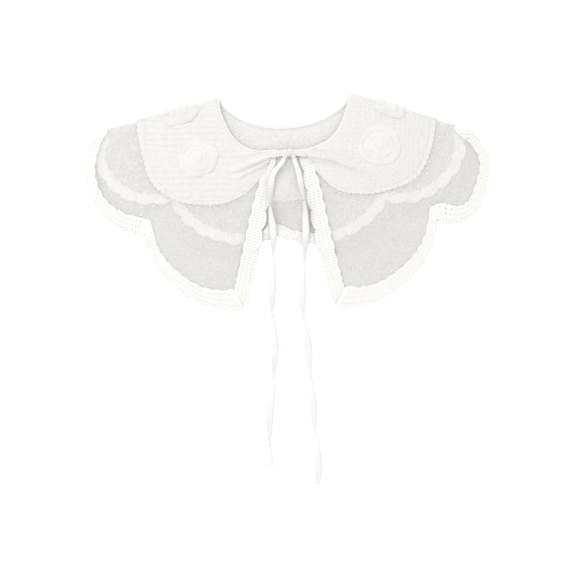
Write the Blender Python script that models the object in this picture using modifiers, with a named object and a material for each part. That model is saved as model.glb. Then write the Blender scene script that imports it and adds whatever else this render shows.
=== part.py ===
"""A detachable lace collar in two tiers, laid flat and folded at both shoulders.

Metres. +X is to the wearer's left, +Y runs from the hem's front corners to the back of the neck,
and +Z is up from the surface that the collar lies on. The origin is at the bottom centre of the
collar without its ties.

The cut is drawn unfolded round one point, the neck centre. An angle of 0 is the centre back,
negative angles run round the -X side to one front edge and positive ones to the other. A place on
the cut is a station and a radius: station 0 is the centre back, -1 and 1 are the shoulder folds and
-2 and 2 the front edges. The back lies wrong side up, and each front is turned over its fold.
"""
import math

import bmesh
import bpy
from mathutils import Vector

# Cloth walls, and the air between them.
COTTON = 0.0020
SHEER = 0.0010
LACE = 0.0010
SEAM_GAP = 0.0003
FOLD_AIR = 0.0010

# The cut's centre and its two shoulder folds: where each fold line leaves the neckline, and how
# far it drops below the horizontal on its way out.
NECK_CENTRE = Vector((-0.0074, 0.1688))
FOLD_CORNER = {-1: Vector((-0.0882, 0.1256)), 1: Vector((0.0748, 0.1315))}
FOLD_DROP = {-1: math.radians(15.5), 1: math.radians(16.5)}

# Front edges: radius, then the angle from the centre back on the -X and on the +X side.
LACE_FRONT = (
    (0.070, 134.0, 128.5),
    (0.120, 136.6, 131.2),
    (0.165, 137.1, 132.7),
    (0.250, 137.0, 133.0),
    (0.300, 137.0, 132.8),
)
COTTON_FRONT = {-1: 130.0, 1: 124.5}

# Neckline: angle from the centre back, and the radius on the -X and on the +X side.
NECKLINE = (
    (0, 0.0755, 0.0755),
    (20, 0.0785, 0.0775),
    (40, 0.0840, 0.0825),
    (60, 0.0890, 0.0890),
    (80, 0.0880, 0.0900),
    (100, 0.0865, 0.0930),
    (115, 0.0805, 0.0895),
    (130, 0.0705, 0.0850),
    (137, 0.0680, 0.0830),
)

# Upper collar's outline, with its picot edging: angle, then the radius on each side.
UPPER_OUTLINE = (
    (0, 0.168, 0.168),
    (20, 0.168, 0.168),
    (45, 0.179, 0.182),
    (69, 0.194, 0.200),
    (80, 0.198, 0.206),
    (90, 0.203, 0.207),
    (100, 0.194, 0.191),
    (110, 0.173, 0.170),
    (119, 0.151, 0.144),
    (125, 0.128, 0.104),
    (130, 0.098, 0.098),
)

# Lower collar's outline, with its lace: the angle and radius of each notch between two scallops.
NOTCHES = (
    (-137.0, 0.268),
    (-102.8, 0.251),
    (-69.0, 0.244),
    (-39.7, 0.218),
    (-2.7, 0.209),
    (37.4, 0.211),
    (70.0, 0.238),
    (97.5, 0.260),
    (133.0, 0.283),
)
# How far each scallop stands out from the line between its notches, and how square it is.
SCALLOPS = (
    (0.019, 2.4),
    (0.031, 2.0),
    (0.031, 2.2),
    (0.018, 2.4),
    (0.016, 2.2),
    (0.025, 2.4),
    (0.040, 3.5),
    (0.021, 2.4),
)
# Radii at which a station's angle is read for a neckline, an upper hem and a lower hem.
NOMINAL_NECK = 0.085
NOMINAL_UPPER = 0.175
NOMINAL_HEM = 0.250

# Widths of the edgings. The hem's lace is given by angle from the centre back.
HEM_LACE_WIDTH = ((0, 0.0130), (60, 0.0135), (80, 0.0145), (105, 0.0180), (120, 0.0200), (137, 0.0190))
FRONT_LACE_AT_NECK = 0.0100
FRONT_LACE_AT_HEM = 0.0190
PICOT_WIDTH = 0.0060
BINDING_WIDTH = 0.0040
LACE_WAVE = 0.0220
LACE_WAVE_DEPTH = 0.0012

# How the layers lie: how far past a layer's edge the one above it takes to settle.
EDGE_MARGIN = 0.0020
BACK_SETTLE = 0.0150
FRONT_SETTLE = 0.0250

# Grid densities.
BACK_COLUMNS = 18
FRONT_COLUMNS = 12
BEND_COLUMNS = 6
COTTON_ROWS = 5
FRONT_LACE_COLUMNS = 22

# Rosettes sewn on the fronts: centre and radius.
ROSETTES = {"left": (Vector((-0.1124, 0.0525)), 0.026), "right": (Vector((0.1105, 0.0694)), 0.028)}
# Their stacked layers: name, share of the radius, height, ruffles round it.
ROSETTE_LAYERS = (
    ("outer_ruffle", 1.00, 0.0035, 11),
    ("inner_ruffle", 0.68, 0.0030, 8),
    ("bud", 0.30, 0.0030, 5),
)
RUFFLE_DEPTH = 0.05
RUFFLE_TOP = 0.82
RUFFLE_SIDES = 4

# Rosettes sewn over the shoulder folds: how far out along the fold, and half their length.
SHOULDER_ROSETTES = {"left": (-1, 0.0475, 0.0240), "right": (1, 0.0515, 0.0200)}
SHOULDER_ROSETTE_THICK = 0.0055
SHOULDER_ROSETTE_REACH = 0.0160
SHOULDER_ROSETTE_START = math.radians(72.0)
SHOULDER_ROSETTE_ROUNDNESS = 0.75

# The half knot at the centre front, and the ties that run down from it.
KNOT_CENTRE = Vector((0.0000, 0.0600, 0.0087))
KNOT_SIZE = Vector((0.0170, 0.0120, 0.0060))
KNOT_ROUNDING = 0.0024
TIE_WIDTH = 0.0090
TIE_THICK = 0.0010
# Each tie's route, hand placed: x, y and the height of its middle.
TIE_ROUTES = {
    "tie_left": (
        (-0.0066, 0.0533, 0.0087), (-0.0072, 0.0500, 0.0085), (-0.0105, 0.0455, 0.0076),
        (-0.0157, 0.0395, 0.0067), (-0.0205, 0.0305, 0.0063), (-0.0234, 0.0020, 0.0063),
        (-0.0228, -0.0120, 0.0063),
        (-0.0202, -0.0300, 0.0048), (-0.0190, -0.0450, 0.0026), (-0.0194, -0.0640, 0.0009),
        (-0.0208, -0.1004, 0.0006), (-0.0199, -0.1455, 0.0006), (-0.0171, -0.1881, 0.0006),
        (-0.0195, -0.2227, 0.0006), (-0.0232, -0.2597, 0.0006), (-0.0237, -0.3042, 0.0006),
        (-0.0237, -0.3246, 0.0006),
    ),
    "tie_right": (
        (0.0066, 0.0533, 0.0087), (0.0070, 0.0500, 0.0085), (0.0090, 0.0440, 0.0074),
        (0.0120, 0.0350, 0.0066),
        (0.0150, 0.0194, 0.0063), (0.0185, 0.0021, 0.0064), (0.0200, -0.0180, 0.0064),
        (0.0207, -0.0374, 0.0046), (0.0200, -0.0550, 0.0024), (0.0192, -0.0726, 0.0008),
        (0.0163, -0.1010, 0.0006), (0.0185, -0.1461, 0.0006), (0.0243, -0.1844, 0.0006),
        (0.0270, -0.2159, 0.0006), (0.0299, -0.2548, 0.0006), (0.0330, -0.2869, 0.0006),
        (0.0364, -0.3264, 0.0006), (0.0360, -0.3486, 0.0006),
    ),
}
TIE_STEP = 0.0100

WHITE_COTTON = (0.93, 0.93, 0.91)
WHITE_SHEER = (0.84, 0.84, 0.82)
WHITE_LACE = (0.92, 0.92, 0.90)
WHITE_RIBBON = (0.93, 0.93, 0.92)

MODEL = "lace_collar"


# ------------------------------------------------------------------------------ small helpers

def lerp(start, end, share):
    return start + (end - start) * share


def smoothstep(value):
    value = min(max(value, 0.0), 1.0)
    return value * value * (3.0 - 2.0 * value)


def look_up(rows, key, column=1):
    """Value of a table's column at a key between its rows, on a smooth curve through them."""
    keys = [row[0] for row in rows]
    values = [row[column] for row in rows]
    key = min(max(key, keys[0]), keys[-1])
    index = max(i for i in range(len(rows) - 1) if keys[i] <= key or i == 0)

    def slope(i):
        low, high = max(i - 1, 0), min(i + 1, len(rows) - 1)
        return (values[high] - values[low]) / (keys[high] - keys[low])

    span = keys[index + 1] - keys[index]
    share = (key - keys[index]) / span
    square, cube = share ** 2, share ** 3
    return (
        (2 * cube - 3 * square + 1) * values[index]
        + (cube - 2 * square + share) * span * slope(index)
        + (3 * square - 2 * cube) * values[index + 1]
        + (cube - square) * span * slope(index + 1)
    )


def sided(rows, angle):
    """Value of a table whose second column is the -X side's and whose third is the +X side's."""
    return look_up(rows, abs(angle), 1 if angle < 0 else 2)


# ------------------------------------------------------------------------------ the flat cut

def neck_radius(angle):
    return sided(NECKLINE, angle)


def upper_radius(angle):
    return sided(UPPER_OUTLINE, angle)


def hem_radius(angle):
    """Outer radius of the lower collar's lace, scallop by scallop."""
    angle = min(max(angle, NOTCHES[0][0]), NOTCHES[-1][0])
    index = max(i for i in range(len(SCALLOPS)) if NOTCHES[i][0] <= angle)
    rise, squareness = SCALLOPS[index]
    (start, start_radius), (end, end_radius) = NOTCHES[index], NOTCHES[index + 1]
    share = (angle - start) / (end - start)
    return lerp(start_radius, end_radius, share) + rise * (1.0 - abs(2.0 * share - 1.0) ** squareness)


def hem_lace_width(angle):
    return look_up(HEM_LACE_WIDTH, abs(angle))


def front_lace_width(radius):
    share = (radius - NECKLINE[-1][1]) / (NOTCHES[0][1] - NECKLINE[-1][1])
    return lerp(FRONT_LACE_AT_NECK, FRONT_LACE_AT_HEM, min(max(share, 0.0), 1.0))


def fold_frame(side):
    """Corner, outward direction along the fold line, and the direction away from the cloth."""
    drop = FOLD_DROP[side]
    along = Vector((side * math.cos(drop), -math.sin(drop)))
    away = Vector((side * math.sin(drop), math.cos(drop)))
    return FOLD_CORNER[side], along, away


def fold_angle(side, radius):
    """Angle from the centre back at which the fold line lies at a radius."""
    corner, along, away = fold_frame(side)
    offset = (NECK_CENTRE - corner).dot(away)
    place = along * math.sqrt(radius ** 2 - offset ** 2) - away * offset
    return math.degrees(math.atan2(side * place.x, -place.y))


def lace_front_angle(side, radius):
    return look_up(LACE_FRONT, radius, 1 if side < 0 else 2)


def sheer_front_angle(side, radius):
    """Front edge of the sheer cloth, inside its lace."""
    return lace_front_angle(side, radius) - math.degrees(front_lace_width(radius) / radius)


def cotton_front_angle(side, radius):
    return COTTON_FRONT[side]


def angle_at(station, radius, front_angle):
    """Angle of a station at a radius: folds and front edges lie where their own lines do."""
    if abs(station) <= 1:
        return lerp(-fold_angle(-1, radius), fold_angle(1, radius), (station + 1) / 2)
    side = 1 if station > 0 else -1
    return side * lerp(fold_angle(side, radius), front_angle(side, radius), abs(station) - 1)


def station_at(angle, radius, front_angle):
    """Station of an angle at a radius, the reverse of angle_at."""
    side = 1 if angle > 0 else -1
    fold = fold_angle(side, radius)
    if abs(angle) <= fold:
        other = fold_angle(-side, radius)
        left, right = (other, fold) if side > 0 else (fold, other)
        return 2 * (angle + left) / (left + right) - 1
    return side * (1 + (abs(angle) - fold) / (front_angle(side, radius) - fold))


# ------------------------------------------------------------------------------ how it lies

def past_back_edge(place, outline, margin, settle):
    """1 over the back's cloth, falling smoothly to 0 past its edge."""
    offset = place - NECK_CENTRE
    angle = math.degrees(math.atan2(offset.x, -offset.y))
    edge = outline(angle) + margin
    return 1.0 - smoothstep((offset.length - edge) / settle)


COTTON_BACK = COTTON / 2
SHEER_LIFT = COTTON + SEAM_GAP
FRONT_HEIGHT = SHEER_LIFT + SHEER + FOLD_AIR + SHEER / 2
COTTON_FRONT_HEIGHT = FRONT_HEIGHT + SHEER / 2 + SEAM_GAP + COTTON / 2


def sheer_back_height(place):
    return SHEER / 2 + SHEER_LIFT * past_back_edge(place, upper_radius, EDGE_MARGIN, BACK_SETTLE)


def sheer_front_height(place):
    cover = past_back_edge(place, hem_radius, EDGE_MARGIN, FRONT_SETTLE)
    return lerp(SHEER / 2, FRONT_HEIGHT, cover)


def cotton_back_height(place):
    return COTTON_BACK


def cotton_front_height(place):
    return COTTON_FRONT_HEIGHT


def binding_back_height(place):
    return (SHEER_LIFT + SHEER) / 2


def binding_front_height(place):
    return (FRONT_HEIGHT - SHEER / 2 + COTTON_FRONT_HEIGHT + COTTON / 2) / 2


SHEER_LAY = (sheer_back_height, sheer_front_height)
COTTON_LAY = (cotton_back_height, cotton_front_height)
BINDING_LAY = (binding_back_height, binding_front_height)


def lay(station, turn, radius, front_angle, heights):
    """Where a place on the cut lies. turn is 0 on the back, pi on a front, and between in a fold."""
    back_height, front_height = heights
    angle = math.radians(angle_at(station, radius, front_angle))
    place = NECK_CENTRE + radius * Vector((math.sin(angle), -math.cos(angle)))
    if turn == 0:
        return Vector((place.x, place.y, back_height(place)))
    side = 1 if station > 0 else -1
    corner, along, away = fold_frame(side)
    if turn == math.pi:
        place = place - 2 * away * (place - corner).dot(away)
        return Vector((place.x, place.y, front_height(place)))
    low, high = back_height(place), front_height(place)
    reach = (high - low) / 2
    place = place + away * reach * math.sin(turn)
    return Vector((place.x, place.y, (low + high) / 2 - reach * math.cos(turn)))


def whole_round(front_stations, back_stations):
    """Columns from one front edge to the other: (station, turn), with the two folds' bends."""
    bend = [math.pi * i / BEND_COLUMNS for i in range(1, BEND_COLUMNS)]
    columns = [(-s, math.pi) for s in reversed(front_stations)]
    columns += [(-1.0, turn) for turn in reversed(bend)]
    columns += [(s, 0) for s in back_stations]
    columns += [(1.0, turn) for turn in bend]
    columns += [(s, math.pi) for s in front_stations]
    return columns


def even(start, end, steps):
    return [lerp(start, end, i / steps) for i in range(steps + 1)]


def even_round():
    return whole_round(even(1, 2, FRONT_COLUMNS), even(-1, 1, BACK_COLUMNS))


def scalloped_round():
    """Columns that fall on every notch, two to a wave of the lace between them.

    Each comes with its share of the lace's wave, -1 in a trough and 1 on a crest.
    """
    zones = {"left": [], "back": [], "right": []}
    for (start, start_radius), (end, end_radius) in zip(NOTCHES, NOTCHES[1:]):
        length = math.radians(end - start) * (start_radius + end_radius) / 2
        steps = 2 * round(length / LACE_WAVE)
        middle = station_at((start + end) / 2, NOMINAL_HEM, lace_front_angle)
        zone = "back" if abs(middle) < 1 else "left" if middle < 0 else "right"
        ends = [station_at(a, NOMINAL_HEM, lace_front_angle) for a in (start, end)]
        ends = [round(s) if abs(abs(s) - 1) < 0.05 else s for s in ends]
        stations = even(*ends, steps)
        waves = [-1 if i % 2 == 0 else 1 for i in range(steps + 1)]
        skip = 1 if zones[zone] else 0
        zones[zone] += list(zip(stations, waves))[skip:]
    bend = [math.pi * i / BEND_COLUMNS for i in range(1, BEND_COLUMNS)]
    columns = [(s, math.pi, wave) for s, wave in zones["left"]]
    columns += [(-1.0, turn, -1) for turn in reversed(bend)]
    columns += [(s, 0, wave) for s, wave in zones["back"]]
    columns += [(1.0, turn, -1) for turn in bend]
    columns += [(s, math.pi, wave) for s, wave in zones["right"]]
    return columns


# ------------------------------------------------------------------------------ making objects

def clear_scene():
    for thing in list(bpy.data.objects):
        bpy.data.objects.remove(thing, do_unlink=True)


def material(name, colour, roughness, alpha=1.0):
    finish = bpy.data.materials.new(name)
    finish.use_nodes = True
    shader = finish.node_tree.nodes["Principled BSDF"]
    shader.inputs["Base Color"].default_value = (*colour, 1.0)
    shader.inputs["Roughness"].default_value = roughness
    shader.inputs["Metallic"].default_value = 0.0
    shader.inputs["Alpha"].default_value = alpha
    return finish


def add_object(name, data, collection, finish):
    thing = bpy.data.objects.new(name, data)
    thing.data.materials.append(finish)
    collection.objects.link(thing)
    return thing


def cloth(name, columns, rows, place, thickness, collection, finish):
    """A wall of cloth: a grid whose corners are sent to place(column, row), made solid both ways."""
    mesh = bpy.data.meshes.new(name)
    shape = bmesh.new()
    bmesh.ops.create_grid(shape, x_segments=columns, y_segments=rows, size=0.5)
    for corner in shape.verts:
        column = round((corner.co.x + 0.5) * columns)
        row = round((corner.co.y + 0.5) * rows)
        corner.co = place(column, row)
    bmesh.ops.recalc_face_normals(shape, faces=shape.faces)
    shape.to_mesh(mesh)
    shape.free()
    thing = add_object(name, mesh, collection, finish)
    wall = thing.modifiers.new("Wall", "SOLIDIFY")
    wall.thickness = thickness
    wall.offset = 0.0
    return thing


# ------------------------------------------------------------------------------ the two tiers

def cloth_start(station, front_angle):
    """Radius at which a tier's cloth begins, against the neck binding."""
    angle = angle_at(station, NOMINAL_NECK, front_angle)
    return neck_radius(angle) + BINDING_WIDTH + SEAM_GAP


def upper_outer(angle):
    return upper_radius(angle) - PICOT_WIDTH


def build_upper_collar(collection, finish):
    columns = even_round()

    def place(column, row):
        station, turn = columns[column]
        start = cloth_start(station, cotton_front_angle)
        end = upper_outer(angle_at(station, NOMINAL_UPPER, cotton_front_angle))
        radius = lerp(start, end, row / COTTON_ROWS)
        return lay(station, turn, radius, cotton_front_angle, COTTON_LAY)

    return cloth("upper_collar", len(columns) - 1, COTTON_ROWS, place, COTTON, collection, finish)


def build_picot_edging(collection, finish):
    columns = even_round()

    def place(column, row):
        station, turn = columns[column]
        angle = angle_at(station, NOMINAL_UPPER, cotton_front_angle)
        radius = lerp(upper_outer(angle) + SEAM_GAP, upper_radius(angle), row)
        return lay(station, turn, radius, cotton_front_angle, COTTON_LAY)

    return cloth("upper_picot_edging", len(columns) - 1, 1, place, LACE, collection, finish)


def sheer_hem(angle):
    return hem_radius(angle) - hem_lace_width(angle)


def build_lower_collar(collection, finish):
    columns = scalloped_round()

    def rows_at(station):
        """Radii of the cloth's rows: they fall where the cloth below ends and where it settles."""
        start = cloth_start(station, sheer_front_angle)
        angle = angle_at(station, NOMINAL_HEM, lace_front_angle)
        hem = sheer_hem(angle)
        edge = min(upper_radius(angle) + EDGE_MARGIN, hem - BACK_SETTLE - 2 * EDGE_MARGIN)
        return (start, lerp(start, edge, 0.5), edge, edge + BACK_SETTLE, hem)

    def place(column, row):
        station, turn, _ = columns[column]
        return lay(station, turn, rows_at(station)[row], sheer_front_angle, SHEER_LAY)

    return cloth("lower_collar", len(columns) - 1, 4, place, SHEER, collection, finish)


def build_hem_lace(collection, finish):
    columns = scalloped_round()

    def place(column, row):
        station, turn, wave = columns[column]
        middle = angle_at(station, NOMINAL_HEM, lace_front_angle)
        if row == 0:
            return lay(station, turn, sheer_hem(middle) + SEAM_GAP, sheer_front_angle, SHEER_LAY)
        outer = hem_radius(middle) + wave * LACE_WAVE_DEPTH
        return lay(station, turn, outer, mitre_angle, SHEER_LAY)

    return cloth("hem_lace", len(columns) - 1, 1, place, LACE, collection, finish)


def mitre_angle(side, radius):
    """Outer end of the hem's lace, just short of the front lace that it meets at the corner."""
    return lace_front_angle(side, radius) - math.degrees(2 * SEAM_GAP / radius)


def build_front_lace(name, side, collection, finish):
    start = {0: cloth_start(2 * side, sheer_front_angle), 1: cloth_start(2 * side, lace_front_angle)}
    end_angle = side * lace_front_angle(side, NOMINAL_HEM)
    corner = sheer_hem(end_angle)
    outer_end = hem_radius(end_angle) - LACE_WAVE_DEPTH - SEAM_GAP

    def place(column, row):
        share = column / FRONT_LACE_COLUMNS
        if row == 0:
            radius = lerp(start[row], corner, share)
            angle = sheer_front_angle(side, radius) + math.degrees(SEAM_GAP / radius)
            return lay(2 * side, math.pi, radius, lambda _side, _radius: angle, SHEER_LAY)
        radius = lerp(start[row], outer_end, share)
        wave = LACE_WAVE_DEPTH * (1 if column % 2 else -1) if 0 < column < FRONT_LACE_COLUMNS else 0
        angle = lace_front_angle(side, radius) + math.degrees(wave / radius)
        return lay(2 * side, math.pi, radius, lambda _side, _radius: angle, SHEER_LAY)

    return cloth(name, FRONT_LACE_COLUMNS, 1, place, LACE, collection, finish)


def build_neck_binding(collection, finish):
    columns = even_round()
    thick = SHEER_LIFT + SHEER

    def place(column, row):
        station, turn = columns[column]
        inner = neck_radius(angle_at(station, NOMINAL_NECK, lace_front_angle))
        return lay(station, turn, inner + row * BINDING_WIDTH, lace_front_angle, BINDING_LAY)

    return cloth("neck_binding", len(columns) - 1, 1, place, thick, collection, finish)


# ------------------------------------------------------------------------------ rosettes

def build_ruffle(name, centre, radius, base, height, ruffles, collection, finish):
    """One gathered layer of a rosette: a low round form whose rim goes in and out."""
    mesh = bpy.data.meshes.new(name)
    shape = bmesh.new()
    sides = ruffles * RUFFLE_SIDES
    top = radius * RUFFLE_TOP
    bmesh.ops.create_cone(shape, cap_ends=True, segments=sides, radius1=radius, radius2=top, depth=height)
    for corner in shape.verts:
        turn = math.atan2(corner.co.y, corner.co.x)
        swell = 1.0 + RUFFLE_DEPTH * math.cos(ruffles * turn)
        corner.co.x = centre.x + corner.co.x * swell
        corner.co.y = centre.y + corner.co.y * swell
        corner.co.z += base + height / 2
    shape.to_mesh(mesh)
    shape.free()
    return add_object(name, mesh, collection, finish)


def build_front_rosettes(collection, finish):
    for side, (centre, radius) in ROSETTES.items():
        base = COTTON_FRONT_HEIGHT + COTTON / 2 + SEAM_GAP
        for layer, share, height, ruffles in ROSETTE_LAYERS:
            name = f"rosette_{side}_{layer}"
            build_ruffle(name, centre, radius * share, base, height, ruffles, collection, finish)
            base += height + SEAM_GAP


def build_shoulder_rosettes(collection, finish):
    """Half-round pads that wrap each fold, from just above the surface to the front cotton's top."""
    along_steps, wrap_steps, flat_steps = 10, 4, 2
    axis_height = (COTTON_BACK + COTTON_FRONT_HEIGHT) / 2
    reach = COTTON_FRONT_HEIGHT - axis_height + COTTON / 2 + SEAM_GAP + SHOULDER_ROSETTE_THICK / 2
    for label, (side, out, half_length) in SHOULDER_ROSETTES.items():
        corner, along, away = fold_frame(side)
        middle = corner + along * out

        def place(column, row):
            if row <= wrap_steps:
                turn = lerp(SHOULDER_ROSETTE_START, math.pi, row / wrap_steps)
                inward = -reach * math.sin(turn)
                height = axis_height - reach * math.cos(turn)
                half = half_length
            else:
                share = (row - wrap_steps) / flat_steps
                inward = SHOULDER_ROSETTE_REACH * share
                height = axis_height + reach
                half = half_length * math.sqrt(1.0 - SHOULDER_ROSETTE_ROUNDNESS * share ** 2)
            spot = middle + along * half * lerp(-1, 1, column / along_steps) - away * inward
            return Vector((spot.x, spot.y, height))

        cloth(
            f"shoulder_rosette_{label}", along_steps, wrap_steps + flat_steps, place,
            SHOULDER_ROSETTE_THICK, collection, finish,
        )


# ------------------------------------------------------------------------------ knot and ties

def build_knot(collection, finish):
    mesh = bpy.data.meshes.new("tie_knot")
    shape = bmesh.new()
    bmesh.ops.create_cube(shape, size=1.0)
    bmesh.ops.scale(shape, vec=KNOT_SIZE, verts=shape.verts)
    bmesh.ops.translate(shape, vec=KNOT_CENTRE, verts=shape.verts)
    shape.to_mesh(mesh)
    shape.free()
    knot = add_object("tie_knot", mesh, collection, finish)
    edge = knot.modifiers.new("Rounded", "BEVEL")
    edge.width = KNOT_ROUNDING
    edge.segments = 3
    return knot


def smooth_route(points, step):
    """Points about a step apart on a smooth curve through the given ones."""
    points = [Vector(p) for p in points]
    ends = [2 * points[0] - points[1]] + points + [2 * points[-1] - points[-2]]
    route = []
    for before, start, end, after in zip(ends, ends[1:], ends[2:], ends[3:]):
        steps = max(1, round((end - start).length / step))
        for i in range(steps):
            s = i / steps
            route.append(0.5 * (
                2 * start + (end - before) * s
                + (2 * before - 5 * start + 4 * end - after) * s ** 2
                + (3 * start - before - 3 * end + after) * s ** 3
            ))
    return route + [points[-1]]


def build_tie(name, collection, finish):
    """A flat ribbon: a curve widened sideways, with its face up."""
    route = smooth_route(TIE_ROUTES[name], TIE_STEP)
    curve = bpy.data.curves.new(name, "CURVE")
    curve.dimensions = "3D"
    curve.twist_mode = "Z_UP"
    curve.bevel_depth = TIE_THICK / 2
    curve.bevel_resolution = 1
    curve.extrude = (TIE_WIDTH - TIE_THICK) / 2
    curve.use_fill_caps = True
    line = curve.splines.new("POLY")
    line.points.add(len(route) - 1)
    for point, spot in zip(line.points, route):
        point.co = (*spot, 1.0)
        point.tilt = math.pi / 2
    return add_object(name, curve, collection, finish)


# ------------------------------------------------------------------------------ the whole collar

def build():
    clear_scene()
    collection = bpy.data.collections.new(MODEL)
    bpy.context.scene.collection.children.link(collection)

    build_upper_collar(collection, material("puckered cotton", WHITE_COTTON, 0.90))
    build_picot_edging(collection, material("picot lace", WHITE_LACE, 0.85))
    build_lower_collar(collection, material("dotted sheer", WHITE_SHEER, 0.80, alpha=0.6))
    build_hem_lace(collection, material("hem lace", WHITE_LACE, 0.85))
    for name, side in (("front_lace_left", -1), ("front_lace_right", 1)):
        build_front_lace(name, side, collection, material(name.replace("_", " "), WHITE_LACE, 0.85))
    build_neck_binding(collection, material("binding cotton", WHITE_COTTON, 0.80))
    build_front_rosettes(collection, material("rosette cotton", WHITE_COTTON, 0.90))
    build_shoulder_rosettes(collection, material("shoulder rosette cotton", WHITE_COTTON, 0.90))
    build_knot(collection, material("knotted ribbon", WHITE_RIBBON, 0.70))
    for name in TIE_ROUTES:
        build_tie(name, collection, material(name.replace("_", " "), WHITE_RIBBON, 0.70))


build()
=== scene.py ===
"""The looks of a two-tier lace collar, laid flat and folded at both shoulders.

Metres. The cut is drawn unfolded round the neck centre, as a maker would draw it: an angle of 0 is
the centre back, negative angles run to the -X front edge and positive ones to the +X front edge.
A station is a place round the cut: 0 is the centre back, -1 and 1 are the shoulder folds and -2
and 2 the front edges. The back lies wrong side up and both fronts are turned over their folds.
"""
import logging
import math
from dataclasses import dataclass, field
from enum import Enum
from typing import Callable, Optional

import bmesh
import bpy
import numpy as np
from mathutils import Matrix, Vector, noise


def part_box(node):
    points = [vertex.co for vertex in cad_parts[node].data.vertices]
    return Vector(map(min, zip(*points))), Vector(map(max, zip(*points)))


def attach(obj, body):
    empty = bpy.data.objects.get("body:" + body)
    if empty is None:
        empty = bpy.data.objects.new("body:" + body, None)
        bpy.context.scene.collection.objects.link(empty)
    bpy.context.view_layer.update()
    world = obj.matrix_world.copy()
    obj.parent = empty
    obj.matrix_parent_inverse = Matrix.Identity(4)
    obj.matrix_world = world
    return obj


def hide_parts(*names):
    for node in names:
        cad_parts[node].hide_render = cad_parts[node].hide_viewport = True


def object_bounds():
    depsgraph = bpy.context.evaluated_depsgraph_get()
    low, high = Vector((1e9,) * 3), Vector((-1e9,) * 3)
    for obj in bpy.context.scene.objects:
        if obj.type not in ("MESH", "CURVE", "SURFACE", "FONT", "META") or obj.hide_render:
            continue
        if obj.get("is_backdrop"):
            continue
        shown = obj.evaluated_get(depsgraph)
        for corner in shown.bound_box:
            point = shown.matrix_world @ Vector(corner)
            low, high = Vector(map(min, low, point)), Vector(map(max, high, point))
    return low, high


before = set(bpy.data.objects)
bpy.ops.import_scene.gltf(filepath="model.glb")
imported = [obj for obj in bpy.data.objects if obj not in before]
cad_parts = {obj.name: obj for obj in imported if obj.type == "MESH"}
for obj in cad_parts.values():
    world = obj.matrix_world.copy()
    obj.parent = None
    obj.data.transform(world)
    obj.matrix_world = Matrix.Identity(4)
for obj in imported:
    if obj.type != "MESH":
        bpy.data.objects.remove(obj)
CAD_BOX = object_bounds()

LOG = logging.getLogger("lace collar")

# Walls of the solids that the cloth stands for, and the air between them.
COTTON_WALL = 0.0020
SHEER_WALL = 0.0010
SEAM_GAP = 0.0003

# The neck centre, measured from the upper collar's box: from its -X side and above its +Y side.
NECK_FROM_SIDE = 0.1752
NECK_ABOVE_TOP = 0.0347
COLLAR_LOW, COLLAR_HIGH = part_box("upper_collar")
NECK_CENTRE = Vector((COLLAR_LOW.x + NECK_FROM_SIDE, COLLAR_HIGH.y + NECK_ABOVE_TOP))

# The shoulder folds: each corner at the neckline, from the neck centre, and the fold line's drop.
FOLD_CORNER = {-1: NECK_CENTRE + Vector((-0.0808, -0.0432)), 1: NECK_CENTRE + Vector((0.0822, -0.0373))}
FOLD_DROP = {-1: math.radians(15.5), 1: math.radians(16.5)}

# Front edges: radius, then the angle from the centre back on the -X and on the +X side.
LACE_FRONT = (
    (0.070, 134.0, 128.5),
    (0.120, 136.6, 131.2),
    (0.165, 137.1, 132.7),
    (0.250, 137.0, 133.0),
    (0.300, 137.0, 132.8),
)
COTTON_FRONT = {-1: 130.0, 1: 124.5}

# Neckline: angle from the centre back, and the radius on the -X and on the +X side.
NECKLINE = (
    (0, 0.0755, 0.0755),
    (20, 0.0785, 0.0775),
    (40, 0.0840, 0.0825),
    (60, 0.0890, 0.0890),
    (80, 0.0880, 0.0900),
    (100, 0.0865, 0.0930),
    (115, 0.0805, 0.0895),
    (130, 0.0705, 0.0850),
    (137, 0.0680, 0.0830),
)

# Upper collar's outline, with its picot edging: angle, then the radius on each side.
UPPER_OUTLINE = (
    (0, 0.168, 0.168),
    (20, 0.168, 0.168),
    (45, 0.179, 0.182),
    (69, 0.194, 0.200),
    (80, 0.198, 0.206),
    (90, 0.203, 0.207),
    (100, 0.194, 0.191),
    (110, 0.173, 0.170),
    (119, 0.151, 0.144),
    (125, 0.128, 0.104),
    (130, 0.098, 0.098),
)

# Lower collar's outline, with its lace: the angle and radius of each notch between two scallops.
NOTCHES = (
    (-137.0, 0.268),
    (-102.8, 0.251),
    (-69.0, 0.244),
    (-39.7, 0.218),
    (-2.7, 0.209),
    (37.4, 0.211),
    (70.0, 0.238),
    (97.5, 0.260),
    (133.0, 0.283),
)
# How far each scallop stands out from the line between its notches, and how square it is.
SCALLOPS = (
    (0.019, 2.4),
    (0.031, 2.0),
    (0.031, 2.2),
    (0.018, 2.4),
    (0.016, 2.2),
    (0.025, 2.4),
    (0.040, 3.5),
    (0.021, 2.4),
)
FOLD_NOTCHES = (2, 6)
NEAR_STATION = 0.05
NOMINAL_NECK = 0.085
NOMINAL_UPPER = 0.175
NOMINAL_HEM = 0.250

HEM_LACE_WIDTH = ((0, 0.0130), (60, 0.0135), (80, 0.0145), (105, 0.0180), (120, 0.0200), (137, 0.0190))
FRONT_LACE_WIDTH = (
    (0.070, 0.0100), (0.100, 0.0135), (0.115, 0.0160), (0.133, 0.0185), (0.150, 0.0195), (0.283, 0.0200),
)
PICOT_WIDTH = 0.0060
BINDING_WIDTH = 0.0040
UNDER_BINDING = 0.0010

# How the layers lie: how far past a layer's edge the one above it takes to settle.
EDGE_MARGIN = 0.0020
BACK_SETTLE = 0.0150
FRONT_SETTLE = 0.0250
TOUCHING = 1e-6

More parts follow.
